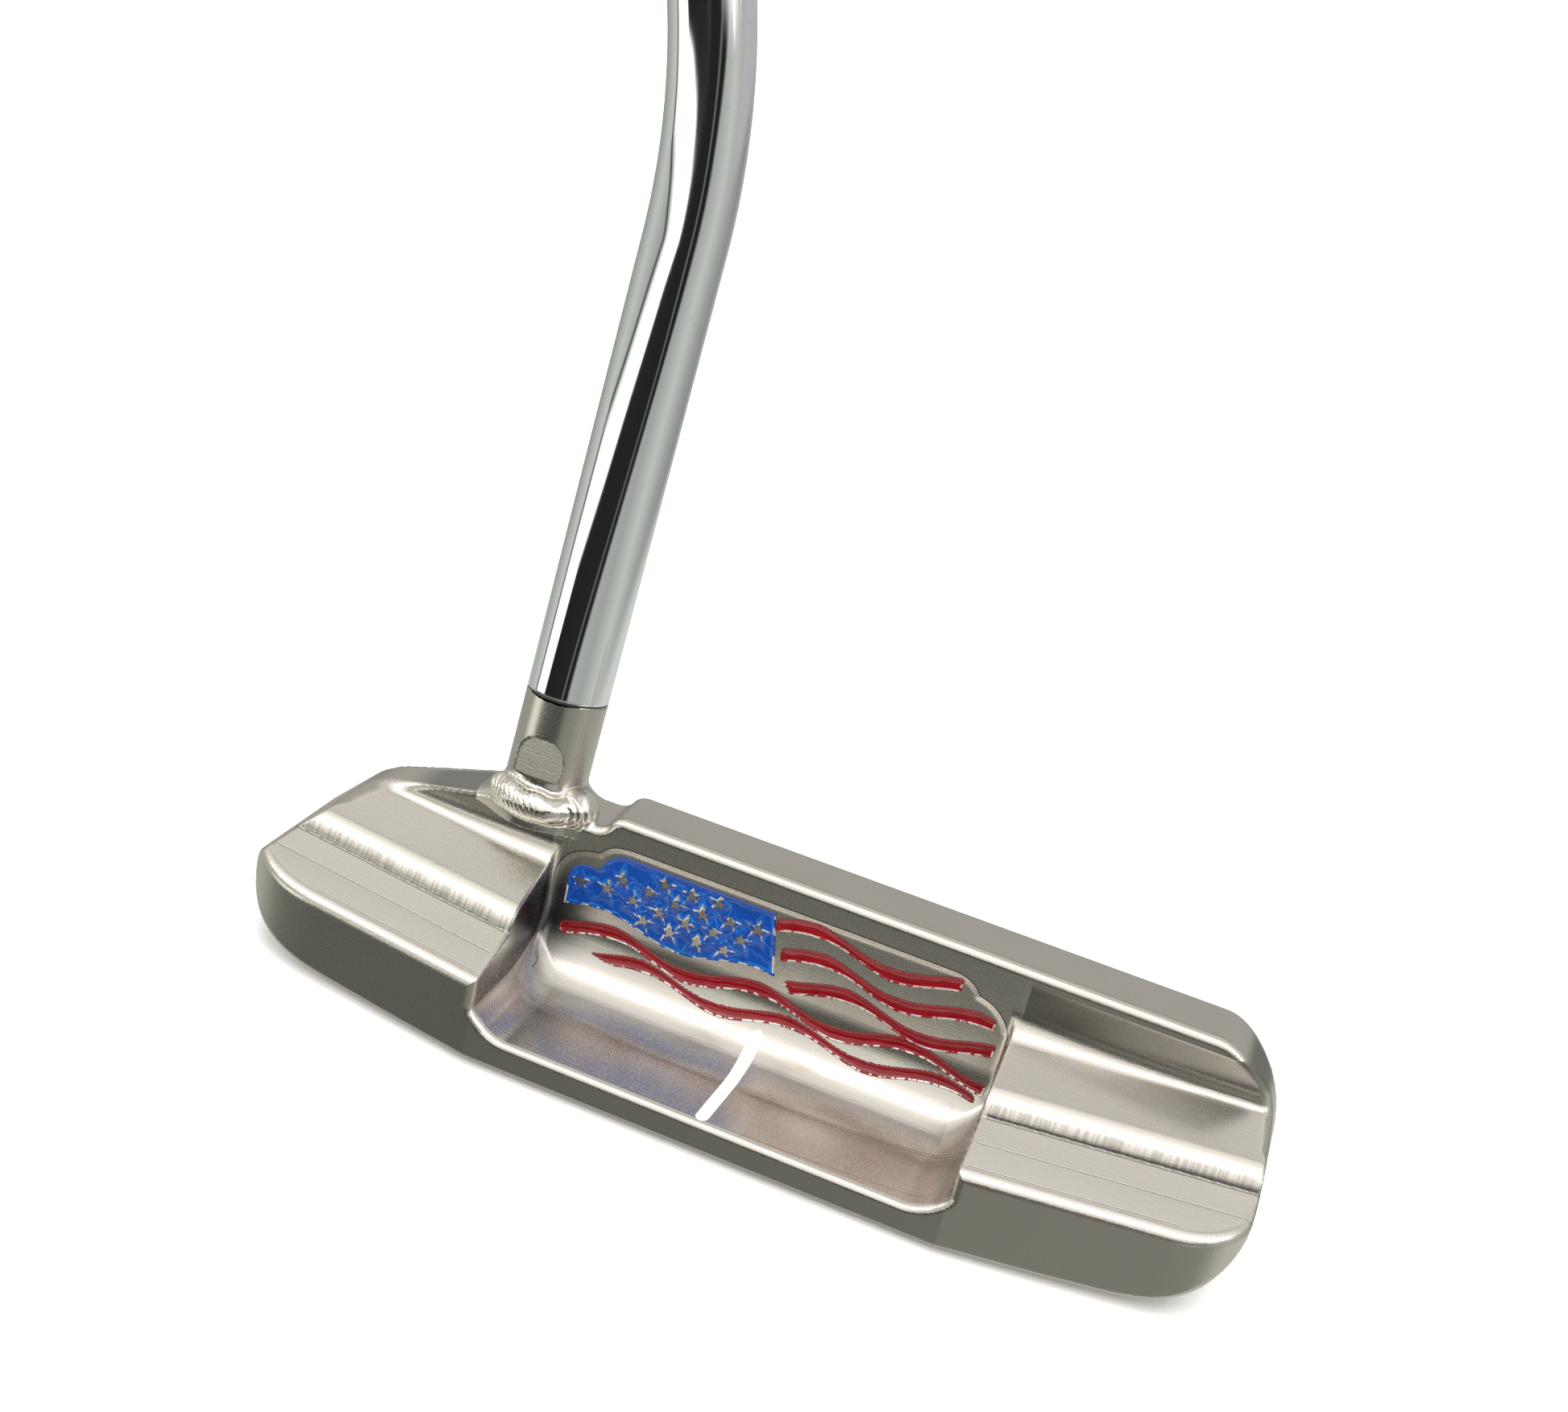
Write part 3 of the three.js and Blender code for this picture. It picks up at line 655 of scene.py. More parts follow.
def pocket_outline():
    """The pocket of the flag in the back wall, as (x, z)."""
    return (Outline(-26, 4).line(27, 4).line(27.2, 17).curve(26, 20, 23, 20.5)
            .curve(22, 22.3, 19.5, 22.3).line(-18.6, 22.3).curve(-21.4, 22.2, -22.2, 20.6)
            .curve(-26.6, 20.2, -27, 16.5).line(-27, 9).curve(-27, 7.2, -26, 6.5).points)


def slope(u, z, start, end):
    """Distance above a slanted face that runs rearward from start to end, in (u, z)."""
    du, dz = end[0] - start[0], end[1] - start[1]
    size = math.hypot(du, dz)
    return (dz * (u - start[0]) - du * (z - start[1])) / size


class HeadForm:
    """The head as a field in millimetres, negative inside the steel."""

    def __init__(self, sizes):
        self.shelf_fillet = sizes.shelf_fillet / MM
        self.floor_cove = sizes.floor_cove / MM
        self.corner = sizes.corner / MM
        self.rim = sizes.rim / MM
        self.flange_rim = sizes.flange_rim / MM
        self.topline_round = sizes.topline_round / MM
        self.front = DistanceMap(front_outline(), (-63, -2), (60, 28))
        self.plan = DistanceMap(plan_outline(), (-63, -15), (60, 16))
        self.pocket = DistanceMap(pocket_outline(), (-31, 2), (31, 26))

    def __call__(self, x, y, z):
        side = np.abs(x)
        k = math.cos(SWEEP)
        u = k * y - math.sin(SWEEP) * (side - CAVITY_HALF)

        def face_between(start, end):
            return slope(u, z, (start[0] * k, start[1]), (end[0] * k, end[1]))

        shelf = face_between(SHELF_START, SHELF_END)
        step = face_between(STEP_TOP, STEP_FOOT)
        lower = np.minimum(face_between(STEP_FOOT, LEDGE_LINE), face_between(LEDGE_LINE, LEDGE_END))
        stack = trimmed(shelf, joined(step, lower, 0.08), 1.5)
        wall = WALL_Y - y
        beyond = np.maximum(side - CAVITY_HALF, 0)
        under = math.tan(SWEEP) * beyond * np.clip((24.0 - z) / 6.5, 0, 1)
        bumper = joined(wall + under, stack, self.shelf_fillet)
        recess = POCKET_DEEP * smooth(-self.pocket(x, z), 0.0, 0.9)
        cove = joined(wall, z - FLOOR_Z, self.floor_cove) + recess
        foot = 0.9 + (self.corner - 0.9) * (1 - smooth(z, 4.5, 9.0))
        cavity = joined(cove, CAVITY_HALF - side, foot)
        edge = 0.4 * smooth(WALL_Y - y, 0.0, 1.0)
        body = trimmed(bumper, cavity, edge)
        rim = self.flange_rim + (self.rim - self.flange_rim) * smooth(side, 24, 28)
        body = trimmed(body, self.plan(x, y), rim)
        rounding = 0.35 + (self.topline_round - 0.35) * smooth(y, 2.0, 3.6)
        rounding = rounding + (1.1 - rounding) * (1 - smooth(z, 4.0, 9.0))
        body = trimmed(body, self.front(x, z), rounding)
        face = math.cos(LOFT) * (y - FACE_TOP_Y) + math.sin(LOFT) * (z - TOP_Z)
        return trimmed(body, face, 0.45)


class PUTTER_OT_head(bpy.types.Operator):
    """Builds the milled head with its shelves, cavity, flag pocket and rounded rims."""
    bl_idname = "putter.head"
    bl_label = "Head"

    def execute(self, context):
        sizes = context.scene.putter_head
        g = sizes.grid / MM
        axes = (
            spaced(-61.4, (-46, g * 1.4), (-29, g * 2.2), (-17, g), (17, g * 1.5), (29, g),
                   (46, g * 2.2), (57.9, g * 1.4)),
            spaced(-13.4, (5.6, g), (12.4, g * 1.6), (13.6, g)),
            spaced(-0.4, (2.0, g), (25.9, g)),
        )
        form = HeadForm(sizes)
        points, faces, normals = surface_of(form, axes)
        x, y, z = points.T
        pocket = np.where((y > 0) & (y < 6) & (z < 24.5), form.pocket(x, z), 9.0)
        piece("milled_head", points, faces, satin_steel("misted satin steel", lines=True),
              ["head"], normals, marks={"pocket": pocket})
        return {"FINISHED"}


# ---- flag ---------------------------------------------------------------------------
WAVE_LENGTH, WAVE = 18.0, 0.95
# CAD node, left end, right end, height, place of a crest, scale, and slant of the left end
STRIPES = [
    ("enamel_stripe_1", -0.6, 20.9, 20.0, 4.2, 1.0, 0.1),
    ("enamel_stripe_2", 0.7, 25.5, 16.75, 5.8, 1.0, 0.1),
    ("enamel_stripe_3", 1.9, 26.2, 13.6, 9.2, 1.0, 0.5),
    ("enamel_stripe_4", -25.2, 26.3, 10.45, -0.6, 1.0, 0.1),
    ("enamel_stripe_5", -20.8, 25.5, 7.95, 3.6, 0.9, 2.0),
]
FIELD_LEFT, FIELD_TOP = -25.3, 21.1
STAR_ROWS, STARS_IN_ROW = 4, 8
STAR_TOP, STAR_PITCH_X, STAR_PITCH_Z = 19.85, 3.3, 1.85


def stripe_field(x, z, x0, x1, height, crest, scale, slant):
    """Signed distance to one waving stripe, full on its crests and thin where it falls."""
    phase = (x - crest) / WAVE_LENGTH * 2 * math.pi
    half = scale * (0.72 - 0.27 * np.maximum(0, np.sin(phase)))
    middle = height + WAVE * scale * np.cos(phase)
    lean = 1 / np.sqrt(1 + (WAVE * scale * 2 * math.pi / WAVE_LENGTH * np.sin(phase)) ** 2)
    ends = np.maximum(x0 - x + slant * (middle + half - z), x - x1)
    return trimmed((np.abs(z - middle) - half) * lean, ends, 0.3)


def field_wave(x, cos=math.cos):
    """The slow wave of the blue field, from -1 to 1."""
    return cos((x + 20.6) / 19 * 2 * math.pi)


def field_low(x):
    """Lower edge of the blue field."""
    return 12.95 + 0.95 * field_wave(x)


def canton_outline():
    """The blue field as (x, z)."""
    line = Outline(FIELD_LEFT, field_low(FIELD_LEFT))
    steps = 24
    for i in range(1, steps + 1):
        x = FIELD_LEFT + (0.5 - FIELD_LEFT) * i / steps
        line.line(x, field_low(x))
    return (line.line(-1.0, FIELD_TOP).line(-18.6, FIELD_TOP)
            .curve(-20.9, FIELD_TOP, -21.6, 18.9).curve(-22.3, 18.3, -22.9, 18.5)
            .curve(FIELD_LEFT, 18.4, FIELD_LEFT, 16.4).points)


def star_places():
    """Staggered rows of stars that follow the wave of the field."""
    places = []
    for row in range(STAR_ROWS):
        for k in range(STARS_IN_ROW):
            x = FIELD_LEFT + 1.4 + (k + (row % 2) / 2) * STAR_PITCH_X
            z = STAR_TOP - row * STAR_PITCH_Z + 0.35 * field_wave(x)
            high = FIELD_TOP if x - 0.6 > -20.5 else 18.4
            edge = -1.0 + (FIELD_TOP - z) * 0.2
            if x > edge - 1.3 or z + 1.15 > high or z - 1.15 < field_low(x):
                continue
            places.append((x, z))
    return places


def star_field(x, z, radius):
    """Signed distance, near enough, to the closest of the five-pointed stars."""
    best = np.full(x.shape, 1e9)
    for i, (cx, cz) in enumerate(star_places()):
        near = (np.abs(x - cx) < 2.5) & (np.abs(z - cz) < 2.5)
        a, b = x[near] - cx, z[near] - cz
        turn = 0.12 * math.sin(2.3 * i)
        angle = np.arctan2(a, b) + turn
        fold = np.abs(np.mod(angle + math.pi / 5, 2 * math.pi / 5) - math.pi / 5)
        r = np.hypot(a, b)
        px, pz = r * np.sin(fold), r * np.cos(fold)
        inner = 0.42 * radius
        qx, qz = inner * math.sin(math.pi / 5), inner * math.cos(math.pi / 5)
        nx, nz = radius - qz, qx
        size = math.hypot(nx, nz)
        best[near] = np.minimum(best[near], (px * nx + (pz - radius) * nz) / size)
    return best


def pillow(shape, low, high, step, height_of, back_y):
    """A closed slab whose front is a height over (x, z), kept where shape is near or inside."""
    xs = np.arange(low[0], high[0] + step, step)
    zs = np.arange(low[1], high[1] + step, step)
    x, z = np.meshgrid(xs, zs, indexing="ij")
    d = shape(x, z)
    front = height_of(x, z, d)
    keep = d < 0.13
    cell = keep[:-1, :-1] & keep[1:, :-1] & keep[:-1, 1:] & keep[1:, 1:]
    number = np.arange(x.size).reshape(x.shape)
    i, j = np.nonzero(cell)
    quad = np.stack([number[i, j], number[i + 1, j], number[i + 1, j + 1], number[i, j + 1]], 1)
    back = quad[:, ::-1] + x.size
    points = np.concatenate([
        np.stack([x.ravel(), front.ravel(), z.ravel()], 1),
        np.stack([x.ravel(), np.full(x.size, back_y), z.ravel()], 1)])
    sides = []
    padded = np.pad(cell, 1)
    for di, dj, a, b in ((-1, 0, 3, 0), (1, 0, 1, 2), (0, -1, 0, 1), (0, 1, 2, 3)):
        open_side = ~padded[i + 1 + di, j + 1 + dj]
        p, q = quad[open_side, a], quad[open_side, b]
        sides.append(np.stack([q, p, p + x.size, q + x.size], 1))
    faces = np.concatenate([quad, back, *sides])
    used, inverse = np.unique(faces, return_inverse=True)
    lower = np.gradient(d, step, axis=1) < 0.2
    edge = np.where(lower, -d, 1.0 - d).ravel()
    return points[used], inverse.reshape(faces.shape), {"edge": np.tile(edge, 2)[used]}


def steel_at(z, cove):
    """Where the pocket's steel lies at a height z: a wall that runs out into the cove."""
    radius = cove + POCKET_DEEP
    past = np.clip(FLOOR_Z + cove - z, 0, radius - 0.5)
    return POCKET_Y - radius + np.sqrt(radius ** 2 - past ** 2)


class PUTTER_OT_flag(bpy.types.Operator):
    """Pours the blue field round its bare stars, and the five red stripes."""
    bl_idname = "putter.flag"
    bl_label = "Flag enamel"

    def execute(self, context):
        sizes = context.scene.putter_flag
        finishes = context.scene.putter_finishes
        rise = sizes.rise / MM
        step = sizes.step / MM
        cove = context.scene.putter_head.floor_cove / MM

        def laid(shape):
            """The flat drawing as it falls on the curved foot of the pocket."""
            def on_steel(x, z):
                drop = POCKET_Y - steel_at(z, cove)
                return shape(x - 0.243 * drop, z - 0.447 * drop)
            return on_steel

        def meniscus(x, z, d):
            """The enamel lies thin in its middle and climbs at its edges."""
            lip = 0.03 + rise * np.exp(-np.maximum(-d, 0) / 0.24)
            wobble = 0.012 * np.sin(x * 2.1 + 1.3 * z) * np.sin(z * 3.1 - x)
            return steel_at(z, cove) - np.where(d < 0, lip + wobble, 0.03 + rise - 1.6 * d)

        outline = canton_outline()

        def field_shape(x, z):
            plate = distance_to(outline, x, z)
            return np.maximum(plate, -star_field(x, z, sizes.star / MM))

        def rippled(x, z, d):
            """The field's enamel also stands in thin wavy ridges between its rows of stars."""
            wave = 0.35 * field_wave(x, np.cos)
            row = ((STAR_TOP + wave - z) / STAR_PITCH_Z
                   + 0.16 * np.sin(x * 1.9) + 0.08 * np.sin(x * 4.3 + 1))
            ridge = np.exp(-(np.abs(np.mod(row, 1.0) - 0.5) / 0.06) ** 2)
            return meniscus(x, z, d) - 0.07 * ridge * smooth(-d, 0.1, 0.3)

        points, faces, marks = pillow(field_shape, (-25.7, 11.5), (1.0, 21.5), step, rippled,
                                      POCKET_Y + 0.5)
        # The third colour of each enamel is its painted highlight along the lower edges
        blue = enamel("blue enamel", tuple(finishes.blue), 0.7, (0.01, 0.16, 0.5))
        piece("blue_field", points, faces, blue, ["enamel_field"], marks=marks)
        red = enamel("red enamel", tuple(finishes.red), 0.7, (0.25, 0.004, 0.01))
        for name, x0, x1, height, crest, scale, slant in STRIPES:
            def shape(x, z):
                return stripe_field(x, z, x0, x1, height, crest, scale, slant)
            points, faces, marks = pillow(laid(shape), (x0 - 0.4, height - 2.2),
                                          (x1 + 1.0, height + 3.0), step, meniscus, POCKET_Y + 0.5)
            piece("red_stripe_" + name[-1], points, faces, red, [name], marks=marks)
        return {"FINISHED"}


class PUTTER_OT_sight(bpy.types.Operator):
    """Lays the white sight line over the flange and a little way up the cove."""
    bl_idname = "putter.sight"
    bl_label = "Sight line"

    def execute(self, context):
        half, rear, front, drift = 0.68, -12.0, 2.45, 0.055
        cove = context.scene.putter_head.floor_cove / MM
        xs = np.linspace(-half - 0.1, half + 0.1, 22)
        ys = np.arange(rear - 0.2, front + 0.3, 0.1)
        x, y = np.meshgrid(xs, ys, indexing="ij")
        along = np.clip(y, rear + half, front - half)
        d = np.hypot(x, y - along) - half
        x = x + drift * (y - rear)
        past = np.maximum(0, y - (WALL_Y - cove))
        floor = FLOOR_Z + cove - np.sqrt(cove * cove - past * past)
        top = floor + np.where(d < 0, 0.035 + 0.03 * np.exp(d / 0.12), 0.065 - 1.6 * d)
        number = np.arange(x.size).reshape(x.shape)
        quad = np.stack([number[:-1, :-1], number[1:, :-1], number[1:, 1:], number[:-1, 1:]],
                        -1).reshape(-1, 4)
        back = quad[:, ::-1] + x.size
        ring = np.concatenate([number[:, 0], number[-1, 1:],
                               number[-2::-1, -1], number[0, -2:0:-1]])
        nxt = np.roll(ring, -1)
        sides = np.stack([nxt, ring, ring + x.size, nxt + x.size], 1)
        points = np.concatenate([
            np.stack([x.ravel(), y.ravel(), top.ravel()], 1),
            np.stack([x.ravel(), y.ravel(), (floor - 0.6).ravel()], 1)])
        piece("white_sight_line", points, np.concatenate([quad, back, sides]),
              enamel("white enamel", tuple(context.scene.putter_finishes.white), 0.94),
              ["sight_line"])
        return {"FINISHED"}


# ---- shaft line ---------------------------------------------------------------------
NECK_BASE = np.array([-31.7, 7.8, SEAT_Z])
NECK_DIR = np.array([0.0, math.sin(10 * DEG), math.cos(10 * DEG)])
LIE_DIR = np.array([-math.cos(70 * DEG), 0.0, math.sin(70 * DEG)])
BEND_START, BEND_RADIUS = 63.5, 85.0
BEND_ANGLE = math.acos(float(NECK_DIR @ LIE_DIR))
BEND_SIDE = LIE_DIR - (LIE_DIR @ NECK_DIR) * NECK_DIR
BEND_SIDE = BEND_SIDE / np.linalg.norm(BEND_SIDE)
BEND_END = BEND_START + BEND_RADIUS * BEND_ANGLE
NECK_LENGTH, SHAFT_R = 12.0, 4.7
CLUB_LENGTH, GRIP_LENGTH = 876.0, 268.0


def axis_at(s):
    """Point and direction at a distance s along the club's axis, from the neck's seat."""
    point = NECK_BASE + NECK_DIR * min(s, BEND_START)
    heading = NECK_DIR
    if s > BEND_START:
        a = min((s - BEND_START) / BEND_RADIUS, BEND_ANGLE)
        point = point + BEND_RADIUS * (NECK_DIR * math.sin(a) + BEND_SIDE * (1 - math.cos(a)))
        heading = NECK_DIR * math.cos(a) + BEND_SIDE * math.sin(a)
        point = point + heading * (s - BEND_START - BEND_RADIUS * a)
    return point, heading


def turned(profile, sides, flat=None):
    """Turns a closed profile of (radius, distance) round the club's axis."""
    angle = 2 * math.pi * np.arange(sides) / sides
    rings = []
    for r, s in profile:
        point, heading = axis_at(s)
        turn = Vector((0, 0, 1)).rotation_difference(Vector(heading)).to_matrix()
        across = np.array(turn @ Vector((1, 0, 0)))
        over = np.array(turn @ Vector((0, 1, 0)))
        radius = np.full(sides, float(r)) if flat is None else flat(angle, r)
        rings.append(point + (radius * np.cos(angle))[:, None] * across
                     + (radius * np.sin(angle))[:, None] * over)
    points = np.concatenate(rings)
    count = len(profile)
    i, j = np.meshgrid(np.arange(count), np.arange(sides), indexing="ij")
    here, along = i.ravel(), j.ravel()
    beside = (along + 1) % sides
    up = (here + 1) % count
    faces = np.stack([here * sides + along, here * sides + beside,
                      up * sides + beside, up * sides + along], 1)
    return points, faces


def sharpen(made, degrees):
    """Keeps edges sharper than this angle crisp under smooth shading."""
    made.data.set_sharp_from_angle(angle=degrees * DEG)


class PUTTER_OT_shaft(bpy.types.Operator):
    """Turns the chromed shaft along its bent line, stepped above the bend."""
    bl_idname = "putter.shaft"
    bl_label = "Shaft"

    def execute(self, context):
        sides = context.scene.putter_shaft.sides
        start, end = NECK_LENGTH + 0.16, CLUB_LENGTH - 4
        wall = 0.9
        outer = [(SHAFT_R - 0.08, start), (SHAFT_R, start + 0.08), (SHAFT_R, start + 0.3)]
        outer += [(SHAFT_R, s) for s in np.arange(start + 4, BEND_START, 8)]
        outer += [(SHAFT_R, s) for s in np.linspace(BEND_START, BEND_END, 28)]
        first, pitch, rise, ramp = 330.0, 38.0, 0.38, 2.0
        for k in range(7):
            s = first + k * pitch
            for t in (0, 0.3, 0.7, 1):
                eased = t * t * (3 - 2 * t)
                outer.append((SHAFT_R + (k + eased) * rise, s + ramp * t))
        outer.append((SHAFT_R + 7 * rise, end))
        inner = [(r - wall, s) for r, s in reversed(outer)]
        points, faces = turned(outer + inner, sides)
        made = piece("chromed_shaft", points, faces, mirror_chrome("mirror chrome"),
                     ["shaft"])
        sharpen(made, 50)
        return {"FINISHED"}


# ---- neck and weld ------------------------------------------------------------------
def neck_place(x, y, z):
    """Across, over and along the neck's own axis."""
    dx, dy, dz = x - NECK_BASE[0], y - NECK_BASE[1], z - NECK_BASE[2]
    s = dy * NECK_DIR[1] + dz * NECK_DIR[2]
    over = dy * NECK_DIR[2] - dz * NECK_DIR[1]
    return dx, over, s


def neck_form(x, y, z):
    """The neck with its milled flat, as a field."""
    a, b, s = neck_place(x, y, z)
    body = trimmed(np.hypot(a, b) - SHAFT_R, s - NECK_LENGTH, 0.18)
    body = trimmed(body, -s - 1.0, 0.1)
    corner = 2.2
    qa, qs = np.abs(a) - (2.75 - corner), np.abs(s - 1.8) - (5.5 - corner)
    window = np.hypot(np.maximum(qa, 0), np.maximum(qs, 0)) + np.minimum(np.maximum(qa, qs), 0)
    window = window - corner
    flat = trimmed(window, b + 3.8 - 0.09 * (s - 1.0), 0.05)
    return trimmed(body, -flat, 0.12)


# Middle line of the weld bead along the rear foot of the neck
BEAD = np.array([(-35.3, 4.5, 24.3), (-33.2, 3.2, 24.3), (-31.2, 2.8, 24.2), (-29.2, 3.0, 24.1),
                 (-27.9, 3.9, 24.0)])


class WeldForm:
    """The weld as a field: a fillet round the neck, a rippled bead and a round lobe."""

    def __init__(self, pitch, head):
        self.pitch = pitch
        self.head = head
        t = np.linspace(0, len(BEAD) - 1, 120)
        keys = np.arange(len(BEAD))
        self.line = np.stack([np.interp(t, keys, BEAD[:, k]) for k in range(3)], 1)
        for _ in range(12):
            self.line[1:-1] = (self.line[:-2] + self.line[1:-1] * 2 + self.line[2:]) / 4
        gaps = np.linalg.norm(np.diff(self.line, axis=0), axis=1)
        self.run = np.concatenate([[0], np.cumsum(gaps)])

    def __call__(self, x, y, z):
        a, b, _ = neck_place(x, y, z)
        neck = np.hypot(a, b) - (SHAFT_R - 0.03)
        skirt = joined(neck, self.head(x, y, z) + 0.03, 3.0)
        reach = np.hypot(x - NECK_BASE[0], y - NECK_BASE[1]) - 8.6
        skirt = np.maximum(np.maximum(skirt, reach), np.maximum(z - 27.2, SEAT_Z - 2.2 - z))
        best = np.full(x.shape, 1e9)
        run = np.zeros(x.shape)
        for p, along in zip(self.line[::2], self.run[::2]):
            d = (x - p[0]) ** 2 + (y - p[1]) ** 2 + (z - p[2]) ** 2
            closer = d < best
            best = np.where(closer, d, best)
            run = np.where(closer, along, run)
        distance = np.sqrt(best)
        length = self.run[-1]
        k = np.clip((run / length * (len(self.line) - 1)).astype(int), 0, len(self.line) - 1)
        offset = (x - self.line[k, 0])
        phase = (run + 0.35 * offset + 0.45 * (z - SEAT_Z)) / self.pitch
        scallop = np.abs(np.sin(math.pi * phase)) ** 0.6 * (1 - smooth(run / length, 0.6, 0.8))
        thick = 1.72 - 0.6 * np.abs(run / length - 0.5) ** 2 + 0.09 * scallop
        thick = thick + 0.07 * np.sin(run * 1.9 + 0.6) * np.sin(1.3 * y + z)
        bead = distance - thick
        lx, ly, lz = x + 26.3, y - 5.5, z - 24.3
        lobe_r = np.sqrt((lx / 1.15) ** 2 + (ly / 1.1) ** 2 + (lz / 1.0) ** 2)
        ring = 0.06 * np.sin(8.0 * np.hypot(lx + 0.5, lz) + 0.8 * lx)
        lobe = lobe_r - 2.15 - ring
        weld = joined(skirt, bead, 0.5)
        return joined(weld, lobe, 0.45)


class PUTTER_OT_neck(bpy.types.Operator):
    """Builds the neck with its milled flat, and the weld round its foot."""
    bl_idname = "putter.neck"
    bl_label = "Neck and weld"

    def execute(self, context):
        axes = (spaced(-36.6, (-26.8, 0.2)), spaced(2.2, (15.4, 0.2)), spaced(21.9, (35.8, 0.2)))
        points, faces, normals = surface_of(neck_form, axes)
        # Painted shade: the neck is the head's steel painted at 0.84 of its colour
        finish = satin_steel("neck steel with painted shade", tone=0.84)
        piece("neck", points, faces, finish, ["neck"], normals)
        pitch = context.scene.putter_shaft.weld_pitch / MM
        form = WeldForm(pitch, HeadForm(context.scene.putter_head))
        axes = (spaced(-41.0, (-22.6, 0.15)), spaced(0.4, (16.6, 0.15)), spaced(21.0, (26.8, 0.15)))
        points, faces, normals = surface_of(form, axes)
        piece("weld", points, faces, weld_metal("weld metal"),
              ["weld_rear", "weld_toe", "weld_front"], normals)
        return {"FINISHED"}


class PUTTER_OT_joint(bpy.types.Operator):
    """Turns the dark line of epoxy between neck and shaft, and gives the tape under the grip its
    paper finish.
    """
    bl_idname = "putter.joint"
    bl_label = "Epoxy and tape"

    def execute(self, context):
        j = NECK_LENGTH
        points, faces = turned([(3.2, j - 0.1), (4.58, j - 0.1), (4.58, j + 0.4), (3.7, j + 0.5),
                                (3.7, j + 22), (3.2, j + 22)], 64)
        epoxy = matt("cured epoxy", (0.02, 0.02, 0.022), 0.4, 2.0, 0.02)
        made = piece("joint_epoxy", points, faces, epoxy, ["joint_epoxy"])
        sharpen(made, 40)
        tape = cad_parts["grip_tape"]
        tape.data.materials.clear()
        tape.data.materials.append(matt("paper tape", (0.62, 0.57, 0.45), 0.85, 3.0, 0.03))
        return {"FINISHED"}


# ---- grip ---------------------------------------------------------------------------
def grip_radius(t):
    """Radius of the grip from its mouth, where t is 0, to its cap, where t is 1."""
    return 9.6 + 2.5 * t + 1.2 * math.sin(math.pi * min(1.0, t * 1.15)) ** 2


def thumb_flat(angle, r):
    """Takes the flat for the thumbs off the outside of the grip, and leaves its bore round."""
    if r < 9.0:
        return np.full(angle.shape, float(r))
    return r * np.minimum(1.0, 0.91 / np.maximum(0.01, np.cos(angle)))


def rib_tree(name):
    """Geometry Nodes: stands one small rib at each point of a line, turned with it."""
    tree = bpy.data.node_groups.new(name, "GeometryNodeTree")
    face = tree.interface
    face.new_socket("Geometry", in_out="INPUT", socket_type="NodeSocketGeometry")
    for label, default in (("Rib length", 0.008), ("Rib height", 0.0005), ("Rib width", 0.0012)):
        made = face.new_socket(label, in_out="INPUT", socket_type="NodeSocketFloat")
        made.default_value = default
    face.new_socket("Rubber", in_out="INPUT", socket_type="NodeSocketMaterial")
    face.new_socket("Geometry", in_out="OUTPUT", socket_type="NodeSocketGeometry")
    sheet = Sheet(tree)
    spots, high, long, wide, rubber = sheet.node(
        "NodeGroupInput", out=("Geometry", "Rib height", "Rib length", "Rib width", "Rubber"))
    bar = sheet.node("GeometryNodeMeshUVSphere", {}, {"Segments": 12, "Rings": 8, "Radius": 0.5},
                     out="Mesh")
    size = sheet.node("ShaderNodeCombineXYZ", {}, {0: high, 1: long, 2: wide})
    heading = sheet.node("GeometryNodeInputNamedAttribute", {"data_type": "FLOAT_VECTOR"},
                         {"Name": "turn"}, out="Attribute")
    rotation = sheet.node("FunctionNodeEulerToRotation", {}, {0: heading})
    ribs = sheet.node("GeometryNodeInstanceOnPoints", {},
                      {"Points": spots, "Instance": bar, "Rotation": rotation, "Scale": size})
    real = sheet.node("GeometryNodeRealizeInstances", {}, {0: ribs})
    finished = sheet.node("GeometryNodeSetMaterial", {}, {"Geometry": real, "Material": rubber})
    sheet.node("NodeGroupOutput", {}, {0: finished}, out=())
    return tree


def grow(made, tree, values):
    """Runs a Geometry Nodes tree on an object and keeps its result as a plain mesh."""
    modifier = made.modifiers.new(tree.name, "NODES")
    modifier.node_group = tree
    for item in tree.interface.items_tree:
        if item.item_type == "SOCKET" and item.in_out == "INPUT" and item.name in values:
            modifier[item.identifier] = values[item.name]
    bpy.context.view_layer.update()
    depsgraph = bpy.context.evaluated_depsgraph_get()
    mesh = bpy.data.meshes.new_from_object(made.evaluated_get(depsgraph))
    made.modifiers.remove(modifier)
    old = made.data
    made.data = mesh
    bpy.data.meshes.remove(old)
    return made


